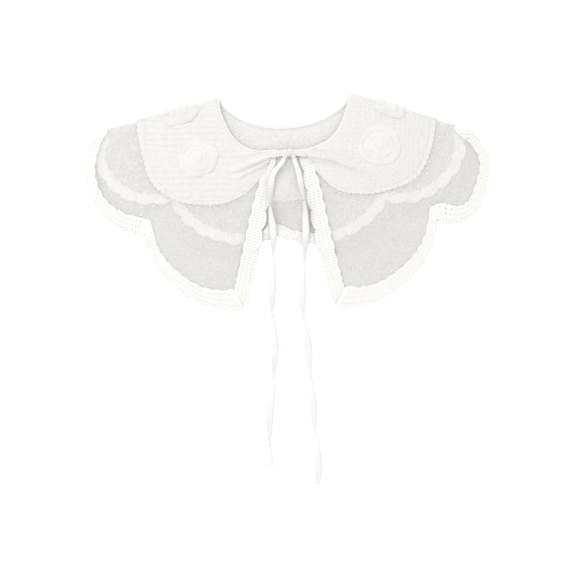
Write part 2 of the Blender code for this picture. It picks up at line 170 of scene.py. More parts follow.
# Each tie's route, the same as its solid's: x, y and the height of its middle.
TIE_ROUTES = {
    "tie_left": (
        (-0.0066, 0.0533, 0.0087), (-0.0072, 0.0500, 0.0085), (-0.0105, 0.0455, 0.0076),
        (-0.0157, 0.0395, 0.0067), (-0.0205, 0.0305, 0.0063), (-0.0234, 0.0020, 0.0063),
        (-0.0228, -0.0120, 0.0063),
        (-0.0202, -0.0300, 0.0048), (-0.0190, -0.0450, 0.0026), (-0.0194, -0.0640, 0.0009),
        (-0.0208, -0.1004, 0.0006), (-0.0199, -0.1455, 0.0006), (-0.0171, -0.1881, 0.0006),
        (-0.0195, -0.2227, 0.0006), (-0.0232, -0.2597, 0.0006), (-0.0237, -0.3042, 0.0006),
        (-0.0237, -0.3246, 0.0006),
    ),
    "tie_right": (
        (0.0066, 0.0533, 0.0087), (0.0070, 0.0500, 0.0085), (0.0090, 0.0440, 0.0074),
        (0.0120, 0.0350, 0.0066),
        (0.0150, 0.0194, 0.0063), (0.0185, 0.0021, 0.0064), (0.0200, -0.0180, 0.0064),
        (0.0207, -0.0374, 0.0046), (0.0200, -0.0550, 0.0024), (0.0192, -0.0726, 0.0008),
        (0.0163, -0.1010, 0.0006), (0.0185, -0.1461, 0.0006), (0.0243, -0.1844, 0.0006),
        (0.0270, -0.2159, 0.0006), (0.0299, -0.2548, 0.0006), (0.0330, -0.2869, 0.0006),
        (0.0364, -0.3264, 0.0006), (0.0360, -0.3486, 0.0006),
    ),
}
# Where each tie shows its edge, as lengths along it from the knot.
TIE_EDGES = {
    "tie_left": (0.064, 0.126, 0.201, 0.278, 0.360),
    "tie_right": (0.054, 0.129, 0.203, 0.273, 0.345),
}

# Numbers that mix a place up until it looks random.
SCATTER_MIX = (12.9898, 78.233, 37.719)
SCATTER_SPREAD = 43758.5453

Column = tuple[float, float]
Placed = tuple[Vector, float, tuple[float, float]]


# ------------------------------------------------------------------------------ small helpers

def lerp(start: float, end: float, share: float) -> float:
    """Value a share of the way from start to end."""
    return start + (end - start) * share


def smoothstep(value: float) -> float:
    """0 below 0, 1 above 1, and a smooth rise between."""
    value = min(max(value, 0.0), 1.0)
    return value * value * (3.0 - 2.0 * value)


def look_up(rows: tuple, key: float, column: int = 1) -> float:
    """Value of a table's column at a key between its rows, on a smooth curve through them.

    Args:
        rows: the table, its first column rising.
        key: where to read, in the first column's units.
        column: which column to read.

    Returns:
        The value there.
    """
    keys = [row[0] for row in rows]
    values = [row[column] for row in rows]
    key = min(max(key, keys[0]), keys[-1])
    index = max(i for i in range(len(rows) - 1) if keys[i] <= key or i == 0)

    def slope(i: int) -> float:
        """Slope of the curve at a row."""
        low, high = max(i - 1, 0), min(i + 1, len(rows) - 1)
        return (values[high] - values[low]) / (keys[high] - keys[low])

    span = keys[index + 1] - keys[index]
    share = (key - keys[index]) / span
    square, cube = share ** 2, share ** 3
    return (
        (2 * cube - 3 * square + 1) * values[index]
        + (cube - 2 * square + share) * span * slope(index)
        + (3 * square - 2 * cube) * values[index + 1]
        + (cube - square) * span * slope(index + 1)
    )


def even(start: float, end: float, steps: int) -> list[float]:
    """steps + 1 numbers, evenly spaced from start to end."""
    return [lerp(start, end, i / steps) for i in range(steps + 1)]


def bends(steps: int) -> list[float]:
    """Turns within a fold's bend, from the back towards the front."""
    return [math.pi * i / steps for i in range(1, steps)]


def lengths_along(points: list[Vector]) -> list[float]:
    """Length of a line up to each of its points."""
    steps = [(after - before).length for before, after in zip(points, points[1:])]
    return [0.0, *np.cumsum(steps).tolist()]


def angle_of(place: Vector) -> float:
    """Angle from the centre back of a place measured from the neck centre."""
    return math.degrees(math.atan2(place.x, -place.y))


def middle_of(node: str) -> tuple[Vector, float]:
    """Middle of a solid seen from above, and half its width."""
    low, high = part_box(node)
    return ((low + high) / 2).xy, (high.x - low.x) / 2


def scatter(*whole: float) -> float:
    """A number from 0 to 1 that looks random and is the same for the same place."""
    spot = math.sin(sum(w * k for w, k in zip(whole, SCATTER_MIX))) * SCATTER_SPREAD
    return spot - math.floor(spot)


def ripple(place: Vector, size: float, seed: float = 0.0) -> float:
    """Smooth noise from about -1 to 1 whose lumps are about as wide as size."""
    return noise.noise(Vector((place.x / size, place.y / size, seed)))


# ------------------------------------------------------------------------------ the flat cut

def sided(rows: tuple, angle: float) -> float:
    """Value of a table whose second column is the -X side's and whose third is the +X side's."""
    return look_up(rows, abs(angle), 1 if angle < 0 else 2)


def neck_radius(angle: float) -> float:
    """Radius of the neckline at an angle."""
    return sided(NECKLINE, angle)


def upper_radius(angle: float) -> float:
    """Radius of the upper collar's outline, picots and all, at an angle."""
    return sided(UPPER_OUTLINE, angle)


def hem_radius(angle: float) -> float:
    """Outer radius of the lower collar's lace, scallop by scallop."""
    angle = min(max(angle, NOTCHES[0][0]), NOTCHES[-1][0])
    index = max(i for i in range(len(SCALLOPS)) if NOTCHES[i][0] <= angle)
    rise, squareness = SCALLOPS[index]
    (start, start_radius), (end, end_radius) = NOTCHES[index], NOTCHES[index + 1]
    share = (angle - start) / (end - start)
    return lerp(start_radius, end_radius, share) + rise * (1.0 - abs(2.0 * share - 1.0) ** squareness)


def sheer_hem(angle: float) -> float:
    """Radius of the sheer cloth's hem, inside its lace."""
    return float(np.interp(angle, *LACE_INNER))


def front_lace_width(radius: float) -> float:
    """Width of the front edge's lace, which widens from the neck to the hem."""
    return look_up(FRONT_LACE_WIDTH, radius)


def fold_frame(side: int) -> tuple[Vector, Vector, Vector]:
    """Corner of a fold, the way outward along it, and the way off the cloth."""
    drop = FOLD_DROP[side]
    along = Vector((side * math.cos(drop), -math.sin(drop)))
    away = Vector((side * math.sin(drop), math.cos(drop)))
    return FOLD_CORNER[side], along, away


def fold_angle(side: int, radius: float) -> float:
    """Angle from the centre back at which the fold line lies at a radius."""
    corner, along, away = fold_frame(side)
    offset = (NECK_CENTRE - corner).dot(away)
    place = along * math.sqrt(radius ** 2 - offset ** 2) - away * offset
    return angle_of(Vector((side * place.x, place.y)))


def lace_front(side: int, radius: float) -> float:
    """Angle of the front edge, lace and all."""
    return look_up(LACE_FRONT, radius, 1 if side < 0 else 2)


def sheer_front(side: int, radius: float) -> float:
    """Angle of the sheer cloth's front edge, inside its lace."""
    return lace_front(side, radius) - math.degrees(front_lace_width(radius) / radius)


def cotton_front(side: int, radius: float) -> float:
    """Angle of the cotton's front edge."""
    return COTTON_FRONT[side]


def mitre_front(side: int, radius: float) -> float:
    """Outer end of the hem's lace, just short of the front lace that it meets at the corner."""
    return lace_front(side, radius) - math.degrees(2 * SEAM_GAP / radius)


Front = Callable[[int, float], float]


def angle_at(station: float, radius: float, front: Front) -> float:
    """Angle of a station at a radius."""
    if abs(station) <= 1:
        return lerp(-fold_angle(-1, radius), fold_angle(1, radius), (station + 1) / 2)
    side = 1 if station > 0 else -1
    return side * lerp(fold_angle(side, radius), front(side, radius), abs(station) - 1)


def station_at(angle: float, radius: float, front: Front) -> float:
    """Station of an angle at a radius, the reverse of angle_at."""
    side = 1 if angle > 0 else -1
    fold = fold_angle(side, radius)
    if abs(angle) <= fold:
        other = fold_angle(-side, radius)
        left, right = (other, fold) if side > 0 else (fold, other)
        return 2 * (angle + left) / (left + right) - 1
    return side * (1 + (abs(angle) - fold) / (front(side, radius) - fold))


def neck_angle(station: float) -> float:
    """Angle of a station at the neckline."""
    return angle_at(station, NOMINAL_NECK, lace_front)


def upper_angle(station: float) -> float:
    """Angle of a station at the upper collar's edge."""
    return angle_at(station, NOMINAL_UPPER, cotton_front)


def hem_angle(station: float) -> float:
    """Angle of a station at the lower collar's hem."""
    return angle_at(station, NOMINAL_HEM, lace_front)


def scallop_ends(index: int) -> list[float]:
    """Stations of a scallop's two notches, set right on a fold or front edge where they are near it."""
    stations = [station_at(NOTCHES[i][0], NOMINAL_HEM, lace_front) for i in (index, index + 1)]
    return [float(round(s)) if abs(abs(s) - 1) < NEAR_STATION or abs(s) > 2 - NEAR_STATION else s
            for s in stations]


def on_cut(angle: float, radius: float) -> Vector:
    """Place on the unfolded cut, from the neck centre."""
    turn = math.radians(angle)
    return Vector((radius * math.sin(turn), -radius * math.cos(turn)))


def lace_inner_edge(samples: int = 1100, window: float = 12.0, past_ends: float = 4.0,
                    reach: float = 2.6, steps: int = 60) -> tuple[np.ndarray, np.ndarray]:
    """Radius at which the wide lace ends on its inner side, its own width in from its outer edge.

    Args:
        samples: how many angles to work out.
        window: how far to either side of an angle the outer edge is looked at, in degrees.
        past_ends: how far past the front corners it is worked out, in degrees.
        reach: how far in it is looked for, in widths of the lace.
        steps: how many radii are tried at each angle.

    Returns:
        The angles, and the radius at each.
    """
    angles = np.linspace(NOTCHES[0][0] - past_ends, NOTCHES[-1][0] + past_ends, samples)
    edge = np.array([on_cut(a, hem_radius(a)) for a in angles])
    found = []
    for angle in angles:
        near = edge[np.abs(angles - angle) < window]
        width = look_up(HEM_LACE_WIDTH, abs(angle))
        radii = np.linspace(hem_radius(angle) - reach * width, hem_radius(angle), steps)
        spots = radii[:, None, None] * np.array(on_cut(angle, 1.0))
        closeness = np.maximum.accumulate(-np.linalg.norm(near[None] - spots, axis=2).min(axis=1))
        found.append(float(np.interp(-width, closeness, radii)))
    return angles, np.array(found)


LACE_INNER = lace_inner_edge()


def cloth_start(station: float, front: Front) -> float:
    """Radius at which a tier's cloth begins, just under the neck binding's edge."""
    return neck_radius(angle_at(station, NOMINAL_NECK, front)) + BINDING_WIDTH - UNDER_BINDING


def flat_size(inner: Callable[[float], float], outer: Callable[[float], float], front: Front) -> tuple:
    """Size of a tier's cut before it is folded.

    Args:
        inner: radius of its neck side at an angle.
        outer: radius of its hem at an angle.
        front: angle of its front edges.

    Returns:
        The cut's width and length, and its area.
    """
    angles = np.linspace(-front(-1, NOMINAL_UPPER), front(1, NOMINAL_UPPER), 400)
    rims = [(inner(a), outer(a)) for a in angles]
    points = np.array([on_cut(a, r) for a, (low, high) in zip(angles, rims) for r in (low, high)])
    width, length = points.max(0) - points.min(0)
    step = math.radians(angles[1] - angles[0])
    area = sum((high ** 2 - low ** 2) / 2 * step for low, high in rims)
    return (float(width), float(length)), float(area)


# ------------------------------------------------------------------------------ how it lies

def past_back_edge(place: Vector, outline: Callable[[float], float], settle: float) -> float:
    """1 over the back's cloth, falling smoothly to 0 past its edge."""
    offset = place - NECK_CENTRE
    edge = outline(angle_of(offset)) + EDGE_MARGIN
    return 1.0 - smoothstep((offset.length - edge) / settle)


COTTON_BACK = COLLAR_LOW.z + COTTON_WALL / 2
COTTON_OVER = COLLAR_HIGH.z - COTTON_WALL / 2
SHEER_LIFT = COTTON_WALL + SEAM_GAP
SHEER_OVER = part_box("lower_collar")[1].z - SHEER_WALL / 2


def sheer_back_height(place: Vector) -> float:
    """Height of the back's sheer: over the cotton, then down to the surface."""
    return SHEER_WALL / 2 + SHEER_LIFT * past_back_edge(place, upper_radius, BACK_SETTLE)


def sheer_front_height(place: Vector) -> float:
    """Height of a front's sheer: over the whole back, then down to the surface."""
    return lerp(SHEER_WALL / 2, SHEER_OVER, past_back_edge(place, hem_radius, FRONT_SETTLE))


SHEER_LAY = (sheer_back_height, sheer_front_height)
COTTON_LAY = (lambda place: COTTON_BACK, lambda place: COTTON_OVER)
BINDING_LAY = (lambda place: SHEER_LIFT / 2 + SHEER_WALL / 2, lambda place: (SHEER_OVER + COTTON_OVER) / 2)


def lay(station: float, turn: float, radius: float, front: Front, heights: tuple) -> Vector:
    """Where a place on the cut lies.

    Args:
        station: place round the cut.
        turn: 0 on the back, pi on a front, and between in a fold's bend.
        radius: distance from the neck centre on the cut.
        front: angle of the front edge.
        heights: the back's and the front's height functions.

    Returns:
        The place in the row frame.
    """
    back_height, front_height = heights
    place = NECK_CENTRE + on_cut(angle_at(station, radius, front), radius)
    if turn == 0:
        return Vector((place.x, place.y, back_height(place)))
    corner, _, away = fold_frame(1 if station > 0 else -1)
    if turn == math.pi:
        place = place - 2 * away * (place - corner).dot(away)
        return Vector((place.x, place.y, front_height(place)))
    low, high = back_height(place), front_height(place)
    reach = (high - low) / 2
    place = place + away * reach * math.sin(turn)
    return Vector((place.x, place.y, (low + high) / 2 - reach * math.cos(turn)))


def right_side(station: float, turn: float) -> Vector:
    """The way that the cloth's right side faces: down on the back, up on a front."""
    away = fold_frame(1 if station > 0 else -1)[2]
    return Vector((away.x * math.sin(turn), away.y * math.sin(turn), -math.cos(turn)))


def whole_round(front_steps: int, back_steps: int, bend_steps: int) -> list[Column]:
    """Columns from one front edge to the other: (station, turn), with the two folds' bends."""
    fronts = even(1, 2, front_steps)
    return with_bends([-s for s in reversed(fronts)], even(-1, 1, back_steps), fronts, bend_steps)


def with_bends(left: list[float], back: list[float], right: list[float], bend_steps: int) -> list[Column]:
    """Columns of three runs of stations, with the bend of a fold between each two."""
    turns = bends(bend_steps)
    columns = [(s, math.pi) for s in left] + [(-1.0, turn) for turn in reversed(turns)]
    columns += [(s, 0) for s in back] + [(1.0, turn) for turn in turns]
    return columns + [(s, math.pi) for s in right]


@dataclass(frozen=True)
class RoundedTip:
    """A front corner of the lower collar, whose lace turns the corner in a curve."""

    side: int
    radius: float = 0.0130
    look_back: float = 0.0250

    def frame(self) -> tuple[Vector, Vector, float]:
        """Centre of the curve, the way from it to the corner, and half the angle it turns."""
        end = hem_radius(self.side * lace_front(self.side, NOMINAL_HEM))
        tip = lay(2 * self.side, math.pi, end, lace_front, SHEER_LAY).xy
        up_front = lay(2 * self.side, math.pi, end - self.look_back, lace_front, SHEER_LAY).xy
        turn = math.degrees(self.look_back / end)
        angle = self.side * lace_front(self.side, end) - self.side * turn
        station = station_at(angle, NOMINAL_HEM, lace_front)
        along_hem = lay(station, math.pi, hem_radius(angle), lace_front, SHEER_LAY).xy
        one, two = (up_front - tip).normalized(), (along_hem - tip).normalized()
        inward = (one + two).normalized()
        half = math.acos(min(max(one.dot(inward), -1.0), 1.0))
        return tip + inward * self.radius / math.sin(half), -inward, math.pi / 2 - half


class Tips:
    """Both front corners, which pull what lies past their curves back onto them."""

    widest = 0.0600

    def __init__(self) -> None:
        """Works the two corners' curves out once."""
        self.frames = [RoundedTip(side).frame() for side in (-1, 1)]

    def pull(self, place: Vector) -> Vector:
        """The place again, drawn in where it lies in a corner's wedge."""
        for centre, outward, beta in self.frames:
            offset = place.xy - centre
            if not TOUCHING < offset.length < self.widest:
                continue
            away = offset.angle(outward)
            if away < beta:
                offset = offset * math.cos(beta - away)
                return Vector((centre.x + offset.x, centre.y + offset.y, place.z))
        return place


TIPS = Tips()


# ------------------------------------------------------------------------------ making meshes

def put_in_scene(name: str, mesh: bpy.types.Mesh, finish: bpy.types.Material) -> bpy.types.Object:
    """An object of a mesh, in the scene, at the origin, smooth, and with its finish."""
    mesh.materials.append(finish)
    thing = bpy.data.objects.new(name, mesh)
    bpy.context.scene.collection.objects.link(thing)
    mesh.shade_smooth()
    return thing


def settle_on(thing: bpy.types.Object, slot: str, *nodes: str) -> bpy.types.Object:
    """Has a piece ride on the collar and hides the solids it stands for."""
    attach(thing, "root")
    if nodes:
        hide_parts(*nodes)
    return thing


def grid(columns: int, rows: int, place: Callable[[int, int], Placed], cut: Optional[list] = None,
         closed: bool = False) -> bmesh.types.BMesh:
    """A sheet of quads whose corners are sent to their places.

    Args:
        columns: number of quads along it.
        rows: number of quads across it.
        place: gives each corner's place, how much shade is painted into its colour (0 to 1), and its place on
            the cloth, in metres.
        cut: corners to leave out, as (column, row), each of which opens a hole.
        closed: True where the last row meets the first, as in a tube.

    Returns:
        The mesh, with a value on each corner for the shade painted into its hollows and folds, and a "cloth"
        map on each face.
    """
    shape = bmesh.new()
    bmesh.ops.create_grid(shape, x_segments=columns, y_segments=rows, size=0.5)
    # Each corner's painted shade: its colour darkens where it lies in a hollow or fold.
    painted_shade = shape.verts.layers.float.new("painted_shade")
    missing = set(cut or ())
    gone, cloth_place = [], {}
    for corner in shape.verts:
        column = round((corner.co.x + 0.5) * columns)
        row = round((corner.co.y + 0.5) * rows)
        if (column, row) in missing:
            gone.append(corner)
            continue
        corner.co, corner[painted_shade], cloth_place[corner] = place(column, row)
    cloth = shape.loops.layers.uv.new("cloth")
    for face in shape.faces:
        for loop in face.loops:
            loop[cloth].uv = cloth_place.get(loop.vert, (0.0, 0.0))
    if gone:
        bmesh.ops.delete(shape, geom=gone, context="VERTS")
    if closed:
        bmesh.ops.remove_doubles(shape, verts=shape.verts, dist=TOUCHING)
        bmesh.ops.holes_fill(shape, edges=[e for e in shape.edges if e.is_boundary], sides=0)
    bmesh.ops.recalc_face_normals(shape, faces=shape.faces)
    return shape


def joined(parts: list[bmesh.types.BMesh]) -> bmesh.types.BMesh:
    """Several meshes in one."""
    whole = bmesh.new()
    for part in parts:
        mesh = bpy.data.meshes.new("part")
        part.to_mesh(mesh)
        part.free()
        whole.from_mesh(mesh)
        bpy.data.meshes.remove(mesh)
    return whole


def make_piece(name: str, shape: bmesh.types.BMesh, finish: bpy.types.Material,
               wall: float = 0.0) -> bpy.types.Object:
    """A piece from a mesh, given a wall where it is an open sheet."""
    mesh = bpy.data.meshes.new(name)
    shape.to_mesh(mesh)
    shape.free()
    thing = put_in_scene(name, mesh, finish)
    if wall:
        solid = thing.modifiers.new("Wall", "SOLIDIFY")
        solid.thickness = wall
        solid.offset = 0.0
    LOG.info("%s: %d corners", name, len(mesh.vertices))
    return thing


# ------------------------------------------------------------------------------ finishes

# A wave texture of scale 1 shows this many radians of band to the metre.
WAVE_BANDS = 20.0


class Nodes:
    """A material's nodes, with short ways to add the few kinds that cloth needs."""

    def __init__(self, name: str) -> None:
        """Starts a material with its shader."""
        self.material = bpy.data.materials.new(name)
        self.material.use_nodes = True
        self.tree = self.material.node_tree
        self.shader = self.tree.nodes["Principled BSDF"]

    def set(self, **values: float) -> None:
        """Sets sockets of the shader by name, with underscores for spaces."""
        for name, value in values.items():
            self.shader.inputs[name.replace("_", " ")].default_value = value

    def add(self, kind: str, **values) -> bpy.types.Node:
        """Adds a node, and sets its properties or input sockets."""
        node = self.tree.nodes.new(kind)
        for name, value in values.items():
            if hasattr(node, name):
                setattr(node, name, value)
            else:
                node.inputs[name.replace("_", " ")].default_value = value
        return node

    def link(self, source: bpy.types.NodeSocket, target: bpy.types.NodeSocket) -> None:
        """Joins two sockets."""
        self.tree.links.new(source, target)

    @staticmethod
    def usable(sockets: bpy.types.bpy_prop_collection, name: str) -> bpy.types.NodeSocket:
        """The socket of a name that the node's data type uses."""
        return next(s for s in sockets if s.name == name and s.enabled)

    def noise(self, vector: bpy.types.NodeSocket, scale: float, detail: float = 3.0) -> bpy.types.NodeSocket:
        """Noise at a scale, in lumps to the metre."""
        node = self.add("ShaderNodeTexNoise", Scale=scale, Detail=detail)
        self.link(vector, node.inputs["Vector"])
        return node.outputs["Fac"]

    def stretched(self, vector: bpy.types.NodeSocket, scale: tuple) -> bpy.types.NodeSocket:
        """The vector again, scaled by a different amount along each axis."""
        node = self.add("ShaderNodeMapping", Scale=scale)
        self.link(vector, node.inputs["Vector"])
        return node.outputs["Vector"]

    def threads(self, vector: bpy.types.NodeSocket, pitch: float, across: bool) -> bpy.types.NodeSocket:
        """Parallel threads at a pitch, across or along the cloth."""
        node = self.add("ShaderNodeTexWave", wave_type="BANDS", bands_direction="Y" if across else "X",
                        Scale=math.tau / (WAVE_BANDS * pitch), Distortion=1.2, Detail=1.0, Detail_Scale=2.0)
        self.link(vector, node.inputs["Vector"])
        return node.outputs["Fac"]

    def combine(self, one: bpy.types.NodeSocket, two: bpy.types.NodeSocket, how: str) -> bpy.types.NodeSocket:
        """Two values put together by a math operation."""
        node = self.add("ShaderNodeMath", operation=how)
        self.link(one, node.inputs[0])
        self.link(two, node.inputs[1])
        return node.outputs[0]

    def colour_between(self, share: bpy.types.NodeSocket, low: tuple, high: tuple) -> bpy.types.NodeSocket:
        """A colour between two, by a value from 0 to 1."""
        node = self.add("ShaderNodeMix", data_type="RGBA")
        factor, low_socket, high_socket = (self.usable(node.inputs, n) for n in ("Factor", "A", "B"))
        low_socket.default_value = (*low, 1.0)
        high_socket.default_value = (*high, 1.0)
        self.link(share, factor)
        return self.usable(node.outputs, "Result")

    def value_between(self, share: bpy.types.NodeSocket, low: bpy.types.NodeSocket,
                      high: bpy.types.NodeSocket) -> bpy.types.NodeSocket:
        """A value between two, by a value from 0 to 1."""
        node = self.add("ShaderNodeMix", data_type="FLOAT")
        for value, name in ((share, "Factor"), (low, "A"), (high, "B")):
            self.link(value, self.usable(node.inputs, name))
        return self.usable(node.outputs, "Result")

    def scaled(self, value: bpy.types.NodeSocket, factor: float) -> bpy.types.NodeSocket:
        """A value times a factor."""
        node = self.add("ShaderNodeMath", operation="MULTIPLY")
        self.link(value, node.inputs[0])
        node.inputs[1].default_value = factor
        return node.outputs[0]

    def spread(self, value: bpy.types.NodeSocket, low: float, high: float,
               smooth: bool = False) -> bpy.types.NodeSocket:
        """0 at the low value and 1 at the high one."""
        node = self.add("ShaderNodeMapRange", interpolation_type="SMOOTHSTEP" if smooth else "LINEAR")
        self.link(value, node.inputs["Value"])
        node.inputs["From Min"].default_value = low
        node.inputs["From Max"].default_value = high
        return node.outputs["Result"]

    def bump(self, height: bpy.types.NodeSocket, depth: float, strength: float) -> None:
        """Gives the shader a bump of a depth in metres."""
        node = self.add("ShaderNodeBump", Strength=strength, Distance=depth)
        self.link(height, node.inputs["Height"])
        self.link(node.outputs["Normal"], self.shader.inputs["Normal"])

    def cloth_map(self) -> bpy.types.NodeSocket:
        """Places on the cloth, in metres along and across its threads."""
        return self.add("ShaderNodeUVMap", uv_map="cloth").outputs["UV"]

    def in_space(self) -> bpy.types.NodeSocket:
        """Places in space, in metres."""
        return self.add("ShaderNodeTexCoord").outputs["Object"]

    def painted_shade(self) -> bpy.types.NodeSocket:
        """The shade painted into each place's colour, from the mesh."""
        return self.add("ShaderNodeAttribute", attribute_name="painted_shade").outputs["Fac"]


@dataclass(frozen=True)
class WovenFinish:
    """Woven cotton: threads both ways, uneven yarn, and painted shade that darkens its hollows."""

    name: str
    light: tuple[float, float, float]
    shade: tuple[float, float, float]
    thread: float
    thread_depth: float
    roughness: float
    sheen: float
    alpha: float = 1.0
    slub_stretch: float = 14.0
    slubs: float = 60.0
    lumps: float = 160.0
    weave_share: float = 0.4
    shaded: tuple[float, float] = (0.10, 1.30)
    strength: float = 0.6
    gloss: float = 0.15

    def relief(self, nodes: Nodes, cloth: bpy.types.NodeSocket) -> tuple:
        """How dark each place is painted, from the painted shade in its hollows and from uneven yarn, and its
        height in thread depths.
        """
        weft = nodes.threads(cloth, self.thread, True)
        warp = nodes.threads(cloth, self.thread, False)
        weave = nodes.combine(weft, warp, "MULTIPLY")
        slubs = nodes.noise(nodes.stretched(cloth, (1.0, self.slub_stretch, 1.0)), self.slubs)
        lumps = nodes.noise(nodes.in_space(), self.lumps, 4.0)
        # Painted shade from the mesh, plus darker slubs of uneven yarn.
        darkening = nodes.combine(nodes.painted_shade(), nodes.combine(slubs, lumps, "MULTIPLY"), "ADD")
        return darkening, nodes.combine(nodes.scaled(weave, self.weave_share), lumps, "ADD")

    def build(self) -> bpy.types.Material:
        """The material, made once."""
        made = bpy.data.materials.get(self.name)
        if made:
            return made
        nodes = Nodes(self.name)
        darkening, height = self.relief(nodes, nodes.cloth_map())
        # The shade colour stands for the painted shade and for the darker yarn.
        share = nodes.spread(darkening, *self.shaded)
        nodes.link(nodes.colour_between(share, self.light, self.shade), nodes.shader.inputs["Base Color"])
        nodes.bump(height, self.thread_depth, self.strength)
        nodes.set(Roughness=self.roughness, Sheen_Weight=self.sheen, Sheen_Roughness=0.5, Metallic=0.0)
        nodes.set(Specular_IOR_Level=self.gloss, Alpha=self.alpha)
        return nodes.material


@dataclass(frozen=True)
class PuckeredFinish(WovenFinish):
    """Woven cotton drawn up small: long cells in rows on one side, round bubbles on the other, with painted
    shade in the slits between the cells.

    rows, bubbles: length and width of a cell.
    loose: how far the cells stray from an even net, on each side.
    change: the places in X between which rows turn into bubbles.
    drawn: noise between which the threads are drawn, at so many lumps to the metre.
    """

    rows: tuple[float, float] = (0.0150, 0.0070)
    bubbles: tuple[float, float] = (0.0052, 0.0060)
    loose: tuple[float, float] = (0.62, 0.75)
    change: tuple[float, float] = (-0.03, 0.03)
    puffed_to: float = 0.30
    drawn: tuple[float, float] = (0.50, 0.58)
    drawn_lumps: float = 230.0
    slit_edge: tuple[float, float] = (0.10, 0.03)
    bubble_depth: float = 3.2
    slit_shade_strength: float = 0.60

    def cells(self, nodes: Nodes, cloth: bpy.types.NodeSocket, size: tuple,
              loose: float) -> bpy.types.NodeSocket:
        """How far each place is from the edge of its cell, in cells."""
        node = nodes.add("ShaderNodeTexVoronoi", feature="DISTANCE_TO_EDGE", voronoi_dimensions="2D",
                         Scale=1.0, Randomness=loose)
        nodes.link(nodes.stretched(cloth, (1 / size[0], 1 / size[1], 1.0)), node.inputs["Vector"])
        return node.outputs["Distance"]

    def relief(self, nodes: Nodes, cloth: bpy.types.NodeSocket) -> tuple:
        """How dark each place is painted, from the painted shade in its hollows and slits and from uneven
        yarn, and its height in thread depths.
        """
        darkening, height = super().relief(nodes, cloth)
        split = nodes.add("ShaderNodeSeparateXYZ")
        nodes.link(nodes.in_space(), split.inputs[0])
        side = nodes.spread(split.outputs["X"], *self.change)
        long_cells = self.cells(nodes, cloth, self.rows, self.loose[0])
        edge = nodes.value_between(side, long_cells, self.cells(nodes, cloth, self.bubbles, self.loose[1]))
        puffed = nodes.spread(edge, 0.0, self.puffed_to, smooth=True)
        drawn = nodes.spread(nodes.noise(cloth, self.drawn_lumps, 1.0), *self.drawn)
        # Painted shade in the slits between the cells, where the drawn threads pull the cloth in.
        slit_shade = nodes.combine(nodes.spread(edge, *self.slit_edge), drawn, "MULTIPLY")
        darkening = nodes.combine(darkening, nodes.scaled(slit_shade, self.slit_shade_strength), "ADD")
        return darkening, nodes.combine(height, nodes.scaled(puffed, self.bubble_depth), "ADD")


# Each finish: its cloth's own colour, then the darker colour that painted shade in hollows and folds, and
# darker yarn, take it to.
PUCKERED_COTTON = PuckeredFinish(
    "puckered cotton", (0.764, 0.757, 0.731), (0.640, 0.630, 0.600), 0.0006, 0.00013, 0.95, 0.20)
ROSETTE_COTTON = WovenFinish(
    "rosette cotton", (0.768, 0.761, 0.736), (0.69, 0.68, 0.65), 0.0006, 0.00015, 0.95, 0.20)
DOTTED_SHEER = WovenFinish(
    "dotted sheer", (0.945, 0.935, 0.915), (0.91, 0.90, 0.875), 0.0004, 0.00002, 0.85, 0.10, alpha=0.29)
SHEER_DOT = WovenFinish(
    "woven dot", (0.82, 0.81, 0.79), (0.78, 0.77, 0.75), 0.0004, 0.00005, 0.95, 0.20)
COTTON_LACE = WovenFinish(
    "cotton lace", (0.865, 0.857, 0.827), (0.68, 0.665, 0.63), 0.0005, 0.00015, 0.90, 0.20)
PICOT_COTTON = WovenFinish(
    "picot cotton", (0.785, 0.778, 0.752), (0.68, 0.67, 0.64), 0.0005, 0.00012, 0.95, 0.20)
BINDING = WovenFinish(
    "binding cotton", (0.775, 0.768, 0.742), (0.69, 0.68, 0.65), 0.0005, 0.00010, 0.85, 0.20)
RIBBON = WovenFinish(
    "tie ribbon", (0.800, 0.795, 0.775), (0.72, 0.715, 0.695), 0.0004, 0.00008, 0.60, 0.30)
THREAD = WovenFinish(
    "sewing thread", (0.83, 0.82, 0.80), (0.76, 0.75, 0.73), 0.0003, 0.00005, 0.70, 0.20)


# ------------------------------------------------------------------------------ ties

class RibbonEnd(Enum):
    """Which tie of the two."""

    LEFT = "tie_left"
    RIGHT = "tie_right"


def smooth_route(points: tuple, step: float) -> list[Vector]:
    """Points about a step apart on a smooth curve through the given ones."""
    spots = [Vector(p) for p in points]
    ends = [2 * spots[0] - spots[1]] + spots + [2 * spots[-1] - spots[-2]]
    route = []
    for before, start, end, after in zip(ends, ends[1:], ends[2:], ends[3:]):
        steps = max(1, round((end - start).length / step))
        for i in range(steps):
            s = i / steps
            route.append(0.5 * (
                2 * start + (end - before) * s
                + (2 * before - 5 * start + 4 * end - after) * s ** 2
                + (3 * start - before - 3 * end + after) * s ** 3
            ))
    return route + [spots[-1]]


